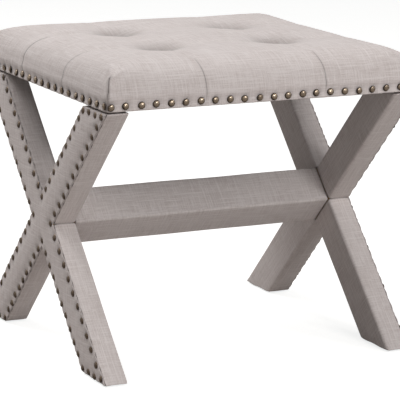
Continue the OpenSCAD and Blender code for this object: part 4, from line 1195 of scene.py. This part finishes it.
def cover_section(half, flat, outer_x, inner_x, radius, lip, step):
    """The section of a cover round three sides of a limb: places off its middle and in X.

    flat is the half width of the straight inner face, which sets the number of points."""
    face = np.linspace(0, half - radius, max(2, int(round(flat / step)) + 1))
    arc = np.linspace(0, math.pi / 2, 6)[1:]
    count = int(round((inner_x - outer_x - radius) / step)) + 1
    edge = np.linspace(inner_x - radius, outer_x + lip, count)[1:]
    roll = np.linspace(0, math.pi / 2, 4)[1:]
    off = np.concatenate([face, half - radius + radius * np.sin(arc), np.full(len(edge), half),
                          half - lip + lip * np.cos(roll)])
    x = np.concatenate([np.full(len(face), inner_x), inner_x - radius + radius * np.cos(arc),
                        edge, outer_x + lip - lip * np.sin(roll)])
    return np.concatenate([-off[:0:-1], off]), np.concatenate([x[:0:-1], x])


def limb_caps(rows, ring, rim, turned):
    """Faces that close the two ends of a limb's cover between its outside and its inside."""
    caps = []
    for row, flip in ((0, turned), (rows - 1, not turned)):
        k = np.arange(rim - 1)
        a, b = row * ring + k, row * ring + k + 1
        c, d = row * ring + ring - 2 - k, row * ring + ring - 1 - k
        cap = np.stack([a, b, c, d], -1)
        caps.append(cap if flip else cap[:, ::-1])
    return caps


def limb_cover(cross, sizes, front, upper, nails):
    """The fabric round one limb of the left frame: both edges and the inner face."""
    half, thick, r, step = cross.width / 2, sizes.fabric, sizes.edge_radius, sizes.grid_step
    outer_x, inner_x = WRAP_LOW[0], WRAP_HIGH[0]
    out_off, out_x = cover_section(half, half - r, outer_x, inner_x, r, 0.0014, step)
    in_off, in_x = cover_section(half - thick, half - r, outer_x, inner_x - thick,
                                 max(r - thick, 0.001), 0.0002, step)
    # The inner face and both edges swell a little over their wadding
    swell = 0.0007 * np.cos(np.clip(out_off / half, -1, 1) * math.pi / 2)
    out_x = out_x + swell * (out_x > inner_x - 0.001)
    belly = 0.0005 * np.sin(np.clip((out_x - outer_x) / (inner_x - outer_x), 0, 1) * math.pi)
    out_off = out_off + np.sign(out_off) * belly * (np.abs(out_off) > half - 0.0005)
    off = np.concatenate([out_off, in_off[::-1]])
    x = np.concatenate([out_x, in_x[::-1]])
    reach = cross.limb_end(0)
    # Even lines along the limb, and one more close to each end for its tuck
    t = np.linspace(0, 1, int(round(reach / step)))
    t = np.sort(np.concatenate([t, [0.004, 0.996]]))
    s, o = np.meshgrid(t, off, indexing="ij")
    xx = np.broadcast_to(x, s.shape)
    start, end = (find(np.clip(o, -half, half)) for find in (cross.limb_start, cross.limb_end))
    along = start + s * (end - start)
    y, z = cross.place(front, upper, along, o)
    points = np.stack([xx, y, z], -1).reshape(-1, 3)
    ring, rim, turned = len(off), len(out_off), front * upper < 0
    quads = grid_quads(len(t), ring, wrap_columns=True)
    if turned:
        quads = quads[:, ::-1]
    caps = limb_caps(len(t), ring, rim, turned)
    outside = np.tile(np.arange(ring) < rim, len(t))
    share, flat_along, flat_x = s.ravel(), along.ravel(), xx.ravel()
    flat_off = np.broadcast_to(o, s.shape).ravel()
    normals = corner_normals(points, quads)
    wobble = unevenness(points, 0.16, 40 + 2 * front + upper) * 0.0005
    at_edge = (np.abs(flat_off) > half - 0.004) & outside
    nail_gap = np.hypot(points[:, 1:2] - nails[:, 0], points[:, 2:3] - nails[:, 1]).min(1)
    by_lip = ease(1 - (flat_x - outer_x) / 0.011)
    pinch = np.where(at_edge, by_lip * (0.0007 * bell(nail_gap - 0.007, 0.005)), 0)
    ends = np.minimum(share, 1 - share) * reach
    tuck = np.where(outside, 0.0009 * cusp(share * reach, 0.0018), 0)
    tuck *= np.abs(normals[:, 0])
    tuck += np.where(outside, 0.0007 * cusp((1 - share) * reach, 0.0016), 0)
    worked = np.where(outside & (ends > 0.004), wobble, 0) - pinch - tuck
    points = points + normals * worked[:, None]
    if upper < 0:
        # The cloth's edge at a foot isn't quite level
        points[:, 2] += 0.0016 * unevenness(points, 0.045, 60 + front) * ease((share - 0.95) / 0.05)
    # Painted shade along the cover's lip, darker between the nails, and a painted shade line where
    # the limb starts at the crossing
    between = ease((nail_gap - 0.0085) / 0.004)
    at_lip = ease(1 - (flat_x - outer_x - 0.0004) / 0.0011)
    crease_shade = np.where(at_edge, at_lip * (0.25 + 0.7 * between), 0)
    crease_shade = np.maximum(crease_shade, np.where(outside, 0.75 * cusp(share * reach, 0.0011), 0))
    over_edge = np.sign(flat_off) * (half + inner_x - flat_x)
    turned_off = np.where(flat_x >= inner_x - r, flat_off, over_edge)
    grid_uv = np.stack([flat_along + 0.7 * front + 0.31 * upper, turned_off], -1)
    quads = np.concatenate([quads] + caps)
    return points + np.array([0, 0, cross.level]), quads, grid_uv[quads], crease_shade


def end_fold(cross, front, upper):
    """The fabric folded over the end of a limb of the left frame, all of it in painted shade."""
    half, sunk = cross.width / 2, 0.0006
    ends = [cross.place(front, upper, cross.limb_end(o), o)[0] for o in (-half, half)]
    y = np.linspace(min(ends) + 0.0026, max(ends) - 0.0026, 24)
    x = np.linspace(WRAP_LOW[0] - 0.0003, WRAP_HIGH[0] - 0.0016, 14)
    gx, gy = np.meshgrid(x, y)
    margin = np.minimum(np.minimum(gx - x[0], x[-1] - gx), np.minimum(gy - y[0], y[-1] - gy))
    swell = 0.0005 * np.sqrt(np.clip(margin / 0.004, 0.02, 1))
    swell += 0.0002 * np.sin(gx * 1100 + front) * np.sin(gy * 300)
    level = cross.level + upper * cross.rise
    inner, outer = level - upper * sunk + 0 * gx, level + upper * swell
    points, quads = cloth_layer(gx, gy, *((inner, outer) if upper > 0 else (outer, inner)))
    uv = points[:, :2] + np.array([0.9 + 0.3 * front, 1.9 + 0.4 * upper])
    # The whole fold gets painted shade
    return points, quads, uv[quads], np.full(len(points), 0.45)


class BENCH_OT_frame_covers(bpy.types.Operator):
    """Covers the edges and inner faces of both crossed end frames"""
    bl_idname = "bench.frame_covers"
    bl_label = "Frame covers"

    def execute(self, context):
        sizes = context.scene.bench_frames
        cross = CrossForm(sizes)
        nails = cross.nails()
        limbs = [limb_cover(cross, sizes, front, upper, nails) for front, upper in LIMBS]
        limbs += [end_fold(cross, front, upper) for front, upper in LIMBS]
        for side, name in SIDES:
            points, quads, uv, crease_shade = join_parts([mirrored(limb, side) for limb in limbs])
            piece = make_piece(f"{name}_frame_cover", points, quads, uv, {"crease_shade": crease_shade})
            finish_piece(piece, linen_material(), (f"{name}_frame_wrap",))
        return {"FINISHED"}


def panel_plan(wide, half, step):
    """Places in Y and Z and faces of the crossed arms' flat shape.

    One grid for each limb and one for the crossing are welded where they meet."""
    weld = 2e-6
    places = np.concatenate([march(0, half - 0.0075, lambda a: step),
                             march(half - 0.0075, half, lambda a: 0.0013)[1:]])
    off = np.concatenate([-places[:0:-1], places])
    across = len(off)
    count = int(round(wide.limb_end(0) / step))
    s, o = np.meshgrid(np.linspace(0, 1, count), off, indexing="ij")
    start, end = wide.limb_start(o), wide.limb_end(o)
    grids = [np.stack(wide.place(front, upper, start + s * (end - start), o), -1).reshape(-1, 2)
             for front, upper in LIMBS]
    quads = [grid_quads(count, across) + k * count * across for k in range(len(LIMBS))]
    share = (off + half) / (2 * half)
    top, bottom = np.array([0, half / wide.cos]), np.array([0, -half / wide.cos])
    front_tip, back_tip = np.array([-half / wide.sin, 0]), np.array([half / wide.sin, 0])
    a, b = np.meshgrid(share, share, indexing="ij")
    centre = (bottom * ((1 - a) * (1 - b))[..., None] + front_tip * (a * (1 - b))[..., None]
              + back_tip * ((1 - a) * b)[..., None] + top * (a * b)[..., None])
    quads.append(grid_quads(across, across) + len(LIMBS) * count * across)
    grids.append(centre.reshape(-1, 2))
    flat, quads = np.concatenate(grids), np.concatenate(quads)
    keep, lookup = np.unique(np.round(flat / weld).astype(np.int64), axis=0, return_inverse=True)
    first = np.full(len(keep), -1)
    first[lookup.ravel()[::-1]] = np.arange(len(flat))[::-1]
    flat, quads = flat[first], lookup.ravel()[quads]
    one, other = flat[quads[:, 2]] - flat[quads[:, 0]], flat[quads[:, 3]] - flat[quads[:, 1]]
    turned = one[:, 0] * other[:, 1] - one[:, 1] * other[:, 0] > 0
    return flat, np.where(turned[:, None], quads[:, ::-1], quads)


def open_edges(quads, count):
    """Edges that only one face has, as pairs of point numbers."""
    edges = np.concatenate([quads[:, [k, (k + 1) % 4]] for k in range(4)])
    code = edges[:, 0].astype(np.int64) * count + edges[:, 1]
    back_code = edges[:, 1].astype(np.int64) * count + edges[:, 0]
    return edges[~np.isin(code, back_code)]


def outer_panel(cross, sizes, nails):
    """The nailed panel of the left frame: one cloth over both arms."""
    half, rim_height = cross.width / 2 - 0.001, 0.0006
    thickness = PANEL_HIGH[0] - PANEL_LOW[0]
    wide = CrossForm(sizes)
    wide.width = 2 * half
    flat, quads = panel_plan(wide, half, sizes.grid_step * 0.85)
    margin_a = half - np.abs(flat[:, 0] * wide.sin - flat[:, 1] * wide.cos)
    margin_b = half - np.abs(flat[:, 0] * wide.sin + flat[:, 1] * wide.cos)
    end_margin = wide.rise - np.abs(flat[:, 1])
    margin, both = np.maximum(margin_a, margin_b), np.minimum(margin_a, margin_b)
    margin = np.where(both > 0, np.sqrt(margin ** 2 + 0.25 * both ** 2), margin)
    margin = np.minimum(np.maximum(margin, 0), end_margin)
    near = np.hypot(flat[:, 0:1] - nails[:, 0], flat[:, 1:2] - nails[:, 1]).min(1)
    # The cloth rolls up from its edge, swells between the nails and is pinched at each of them
    edge_roll = np.sqrt(np.clip(1 - (1 - np.clip(margin / 0.0016, 0, 1)) ** 2, 0, 1))
    lift = 0.0006 * ease((near - 0.006) / 0.005) * bell(margin, 0.006)
    crown = sizes.panel_crown * ease((margin - 0.006) / 0.018)
    puckers = 0.00035 * np.sin(np.arctan2(flat[:, 1] * 7, flat[:, 0] * 7) * 3)
    rolled = 0.35 * edge_roll + 0.65 * ease(margin / 0.013)
    height = (rim_height + (thickness - rim_height) * rolled + crown + lift
              - sizes.pinch * bell(near, 0.0068) + puckers * bell(near - 0.009, 0.004))
    face = np.stack([PANEL_HIGH[0] - height, flat[:, 0], flat[:, 1]], -1)
    face[:, 0] += unevenness(face, 0.12, 71) * 0.0003 * edge_roll
    normals = corner_normals(face, quads)
    wave = 0.0004 * (ease((near - 0.007) / 0.004) - 0.35) * bell(margin, 0.003)
    direction = normals[:, 1:] / np.maximum(np.linalg.norm(normals[:, 1:], axis=1), 0.2)[:, None]
    face[:, 1:] += direction * (wave * (end_margin > 0.004))[:, None]
    n = len(flat)
    back = np.stack([np.full(n, PANEL_HIGH[0]), face[:, 1], face[:, 2]], -1)
    rim = open_edges(quads, n)
    rim_quads = np.stack([rim[:, 1], rim[:, 0], rim[:, 0] + n, rim[:, 1] + n], -1)
    points = np.concatenate([face, back]) + np.array([0, 0, cross.level])
    all_quads = np.concatenate([quads, quads[:, ::-1] + n, rim_quads])
    # Painted shade round each nail and along the panel's edge
    crease_shade = np.maximum(0.40 * bell(near, 0.0068), 0.30 * (margin < 0.0006))
    crease_shade = np.concatenate([crease_shade, np.zeros(n)])
    grid_uv = points[:, 1:] + np.array([3.1, 1.7])
    return points, all_quads, grid_uv[all_quads], crease_shade


class BENCH_OT_outer_panels(bpy.types.Operator):
    """Lays the nailed fabric panels on the end frames' outer faces"""
    bl_idname = "bench.outer_panels"
    bl_label = "Outer panels"

    def execute(self, context):
        sizes = context.scene.bench_frames
        cross = CrossForm(sizes)
        panel = outer_panel(cross, sizes, cross.nails())
        for side, name in SIDES:
            points, quads, uv, crease_shade = mirrored(panel, side)
            piece = make_piece(f"{name}_panel", points, quads, uv, {"crease_shade": crease_shade})
            finish_piece(piece, linen_material(), (f"{name}_outer_panel",))
        return {"FINISHED"}


class BENCH_OT_frame_nails(bpy.types.Operator):
    """Sets the domed nails along both edges of each arm"""
    bl_idname = "bench.frame_nails"
    bl_label = "Frame nails"

    def execute(self, context):
        cross = CrossForm(context.scene.bench_frames)
        nails = cross.nails()
        for side, name in SIDES:
            x = np.full(len(nails), side * (abs(PANEL_LOW[0]) - NAIL_SINK))
            places = np.stack([x, nails[:, 0], nails[:, 1] + cross.level], -1)
            facings = np.tile([float(side), 0.0, 0.0], (len(nails), 1))
            # The end frames' nails take the darker brass copy, as painted shade
            nailed_piece(f"{name}_nails", places, facings, 11 + side, (f"{name}_frame_nails",),
                         shaded=True)
        return {"FINISHED"}


def diamond_section(tips, shrink, radius):
    """A diamond with round arrises, from its front tip; shrink is how far its sides move in."""
    points, reach = [], (tips[2, 0], tips[3, 1])
    inner = tips * (1 - shrink / (reach[0] * reach[1] / math.hypot(*reach)))
    for k in range(4):
        before, tip, after = inner[k - 1], inner[k], inner[(k + 1) % 4]
        way_in, way_out = (tip - before), (after - tip)
        way_in, way_out = way_in / np.linalg.norm(way_in), way_out / np.linalg.norm(way_out)
        a, b = tip - way_in * radius, tip + way_out * radius
        points += [(1 - t) ** 2 * a + 2 * t * (1 - t) * tip + t * t * b
                   for t in np.linspace(0, 1, 7)]
        far = after - way_out * radius
        points += [b + (far - b) * t for t in np.linspace(0, 1, 19)[1:-1]]
    return np.array(points)


class BENCH_OT_stretcher(bpy.types.Operator):
    """Covers the diamond-section stretcher"""
    bl_idname = "bench.stretcher"
    bl_label = "Stretcher cover"

    def execute(self, context):
        sizes = context.scene.bench_frames
        half = abs(BAR_LOW[0])
        level = (BAR_HIGH[2] + BAR_LOW[2]) / 2
        reach = np.array([BAR_HIGH[1], (BAR_HIGH[2] - BAR_LOW[2]) / 2])
        tips = np.array([[-1, 0], [0, -1], [1, 0], [0, 1]]) * reach
        outer = diamond_section(tips, 0.0, 0.0036)
        inner = diamond_section(tips, sizes.fabric, 0.0025)
        ways = np.concatenate([[0], np.cumsum(np.linalg.norm(np.diff(outer, axis=0), axis=1))])
        x = march(-half, 0, lambda a: min(0.004, 0.0005 + 0.12 * (half + a)))
        x = np.concatenate([x, -x[-2::-1]])
        ring = len(outer)

        def sweep(path, stations):
            """The section's points at each station, row by row."""
            xx, k = np.meshgrid(stations, np.arange(ring), indexing="ij")
            return np.stack([xx, path[k, 0], path[k, 1] + level], -1).reshape(-1, 3)

        outside, inside = sweep(outer, x), sweep(inner, x[::-1])
        points = np.concatenate([outside, inside])
        quads = grid_quads(2 * len(x), ring, wrap_rows=True, wrap_columns=True)
        normals = corner_normals(points, quads)
        is_out = np.arange(len(points)) < len(outside)
        from_end = half - np.abs(points[:, 0])
        ways_all = np.tile(ways, 2 * len(x))
        flat = np.sin((ways_all / ways[-1] * 4 % 1) * math.pi)
        shape = (unevenness(points, 0.17, 23) * 0.0006 + 0.0009 * flat) * ease(from_end / 0.02)
        tuck = 0.0005 * cusp(from_end, 0.0022) + 0.0006 * bell(from_end - 0.012, 0.006)
        points = points + normals * np.where(is_out, shape - tuck, 0)[:, None]
        # Painted shade at each end, where the cloth tucks in
        crease_shade = np.where(is_out, 0.8 * cusp(from_end, 0.0011), 0)
        uv = np.stack([points[:, 0] + 5.3, ways_all + 2.2], -1)[quads]
        # The faces that close the ring go on past its last point instead of back to the first
        round_bar = uv[..., 1]
        uv[..., 1] = np.where(round_bar.max(1, keepdims=True) - round_bar > 0.1,
                              round_bar + ways[-1] + ways[1], round_bar)
        piece = make_piece("stretcher_fabric", points, quads, uv, {"crease_shade": crease_shade})
        finish_piece(piece, linen_material(), ("stretcher_cover",))
        return {"FINISHED"}


# Underside --------------------------------------------------------------------------

class BENCH_OT_dust_cloth(bpy.types.Operator):
    """Stretches the black dust cloth below the seat's frame and staples it"""
    bl_idname = "bench.dust_cloth"
    bl_label = "Dust cloth"

    def execute(self, context):
        hx, hy = DUST_HIGH[0] - 0.006, DUST_HIGH[1] - 0.006
        x, y = np.linspace(-hx, hx, 75), np.linspace(-hy, hy, 71)
        gx, gy = np.meshgrid(x, y)
        # It sags inside the rails and lies flat below them
        inner_x, inner_y = np.clip(np.abs(gx) / 0.185, 0, 1), np.clip(np.abs(gy) / 0.212, 0, 1)
        sag = 0.0030 * (1 - inner_x ** 2) ** 1.5 * (1 - inner_y ** 2) ** 1.5
        points, quads = cloth_layer(gx, gy, UNDERSIDE - sag, UNDERSIDE + 0.00028 - sag)
        piece = make_piece("dust_cloth", points, quads, np.zeros((len(quads), 4, 2)))
        finish_piece(piece, plain_material("dust_cloth"), ("dust_cover",))
        self.staples(context, hx - 0.005, hy - 0.005)
        return {"FINISHED"}

    def staples(self, context, hx, hy):
        """Sets the staples round the cloth, but for the places of the spacers over the legs."""
        spacer_x, spacer_y, clearance, z = 0.2268, 0.19457, 0.016, UNDERSIDE - 0.0004
        step = context.scene.bench_nails.staple_step
        along = np.linspace(-hx + 0.012, hx - 0.012, int(round(2 * hx / step)))
        across = np.linspace(-hy + 0.012, hy - 0.012, int(round(2 * hy / step)))
        rows = [(x, side * hy, 0.0) for side in (-1, 1) for x in along]
        rows += [(side * hx, y, math.pi / 2) for side in (-1, 1) for y in across]
        clear = [(x, y, lie) for x, y, lie in rows
                 if math.hypot(abs(x) - spacer_x, abs(y) - spacer_y) > clearance]
        steel = plain_material("steel")
        piece = scattered_piece("dust_staples", [(x, y, z) for x, y, lie in clear],
                                {"lie": ("FLOAT", "value", [lie for x, y, lie in clear])},
                                staple_tree(), {"Finish": steel})
        finish_piece(piece, steel)


class BENCH_OT_plain_parts(bpy.types.Operator):
    """Gives the timber, hardware and other carried-over parts their materials"""
    bl_idname = "bench.plain_parts"
    bl_label = "Timber and hardware"

    def execute(self, context):
        finishes = {slot: plain_material(slot) for slot in PLAIN_FINISHES}
        finishes["linen"], finishes["nailheads"] = linen_material(), brass_material()
        slots = {part["node"]: part["material_slot"] for part in frame["record"]["subparts"]}
        for name, node in frame["nodes"].items():
            node.data.materials.clear()
            node.data.materials.append(finishes[slots[name]])
        return {"FINISHED"}


# Stage ------------------------------------------------------------------------------

LOOKED_AT = (0, 0, 0.25)  # where the lamps point
CAMERA_PLACE = (-1.5689903, -3.2228204, 0.9811831)
CAMERA_YAW, CAMERA_PITCH, CAMERA_ROLL = 0.4559, 0.2124, 0.0124  # radians


def put_at(thing, right, up, back, place):
    """Places a thing with its X, Y and Z axes along the three ways."""
    thing.matrix_world = Matrix([[right[k], up[k], back[k], place[k]] for k in range(3)]
                                + [[0, 0, 0, 1]])
    bpy.context.scene.collection.objects.link(thing)


def soft_lamp(name, place, size, power):
    """A square lamp, turned to the bench."""
    lamp = bpy.data.lights.new(name, "AREA")
    lamp.shape, lamp.size, lamp.energy = "SQUARE", size, power
    made = bpy.data.objects.new(name, lamp)
    away = np.array(place, float) - np.array(LOOKED_AT, float)
    away /= np.linalg.norm(away)
    right = np.cross([0, 0, 1], away)
    right /= np.linalg.norm(right)
    put_at(made, right, np.cross(away, right), away, place)


class BENCH_OT_stage(bpy.types.Operator):
    """Sets the floor, the soft light and the camera"""
    bl_idname = "bench.stage"
    bl_label = "Stage"

    def execute(self, context):
        scene, stage = context.scene, context.scene.bench_stage
        scene.view_settings.view_transform = "Standard"
        self.floor()
        scene.world = self.white_room(stage.sky)
        soft_lamp("key_light", (-1.30, 1.40, 2.95), 2.0, stage.key)
        soft_lamp("front_light", (0.55, -2.87, 1.80), 1.1, stage.front)
        soft_lamp("glint_light", (1.90, -1.75, 2.10), 0.6, stage.glint)
        scene.camera = self.camera(stage.lens)
        return {"FINISHED"}

    def floor(self):
        """A pale floor that the camera sees nearly as white as the room."""
        reach = 7
        corners = [(x * reach, y * reach, 0) for x, y in ((-1, -1), (1, -1), (1, 1), (-1, 1))]
        floor = make_piece("floor", corners, [[0, 1, 2, 3]])
        paint = bpy.data.materials.new("pale_floor")
        g = emptied(paint)
        seen = g.node("ShaderNodeLightPath")
        shader = g.node("ShaderNodeBsdfPrincipled", {
            "Base Color": (0.50, 0.47, 0.45, 1), "Roughness": 0.9, "Specular IOR Level": 0.1,
            "Emission Color": (0.985, 1.0, 1.0, 1),
            "Emission Strength": g.math("MULTIPLY", seen.outputs["Is Camera Ray"], 0.80)})
        g.node("ShaderNodeOutputMaterial", {"Surface": shader.outputs[0]})
        floor.data.materials.append(paint)

    def white_room(self, sky):
        """A world that is white where it is seen and gives only a little even light."""
        world = bpy.data.worlds.new("white_room")
        g = emptied(world)
        seen = g.node("ShaderNodeLightPath")
        direct = g.math("MAXIMUM", seen.outputs["Is Camera Ray"],
                        seen.outputs["Is Transmission Ray"])
        direct = g.math("MAXIMUM", direct, g.math("MULTIPLY", seen.outputs["Is Glossy Ray"], 0.9))
        strength = g.math("MULTIPLY_ADD", direct, 1.0 - sky, sky)
        light = g.node("ShaderNodeBackground", {"Color": (1, 1, 1, 1), "Strength": strength})
        g.node("ShaderNodeOutputWorld", {"Surface": light.outputs[0]})
        return world

    def camera(self, lens):
        """The camera, with a long lens, low in front and a little to the left."""
        data = bpy.data.cameras.new("camera")
        data.lens, data.sensor_width = lens, 36.0
        data.clip_start, data.clip_end = 0.1, 60.0
        yaw, pitch, roll = CAMERA_YAW, CAMERA_PITCH, CAMERA_ROLL
        forward = np.array([math.sin(yaw) * math.cos(pitch), math.cos(yaw) * math.cos(pitch),
                            -math.sin(pitch)])
        right = np.array([math.cos(yaw), -math.sin(yaw), 0])
        up = np.cross(right, forward)
        right, up = (right * math.cos(roll) + up * math.sin(roll),
                     -right * math.sin(roll) + up * math.cos(roll))
        made = bpy.data.objects.new("camera", data)
        put_at(made, right, up, -forward, CAMERA_PLACE)
        return made


# Add-on -----------------------------------------------------------------------------

OPERATORS = (
    BENCH_OT_plain_parts, BENCH_OT_cushion, BENCH_OT_buttons, BENCH_OT_border_nails,
    BENCH_OT_frame_covers, BENCH_OT_outer_panels, BENCH_OT_frame_nails, BENCH_OT_stretcher,
    BENCH_OT_dust_cloth, BENCH_OT_stage,
)


class BENCH_PT_panel(bpy.types.Panel):
    """The bench's steps in the sidebar"""
    bl_idname = "BENCH_PT_panel"
    bl_label = "Bench"
    bl_space_type = "VIEW_3D"
    bl_region_type = "UI"
    bl_category = "Bench"

    def draw(self, context):
        """Lists the steps and their settings."""
        for step in OPERATORS:
            self.layout.operator(step.bl_idname)
        for name, group in SETTINGS:
            box = self.layout.box()
            for field in group.__annotations__:
                box.prop(getattr(context.scene, name), field)


def register():
    """Adds the settings to every scene, the steps and the panel."""
    for name, group in SETTINGS:
        bpy.utils.register_class(group)
        setattr(bpy.types.Scene, name, PointerProperty(type=group))
    for step in OPERATORS:
        bpy.utils.register_class(step)
    bpy.utils.register_class(BENCH_PT_panel)


def unregister():
    """Takes away what register adds."""
    bpy.utils.unregister_class(BENCH_PT_panel)
    for step in reversed(OPERATORS):
        bpy.utils.unregister_class(step)
    for name, group in reversed(SETTINGS):
        delattr(bpy.types.Scene, name)
        bpy.utils.unregister_class(group)


def main():
    """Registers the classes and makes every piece."""
    register()
    for step in OPERATORS:
        result = getattr(bpy.ops.bench, step.bl_idname.split(".")[1])()
        if result != {"FINISHED"}:
            raise RuntimeError(f"{step.bl_label} didn't finish")


if __name__ == "__main__":
    main()
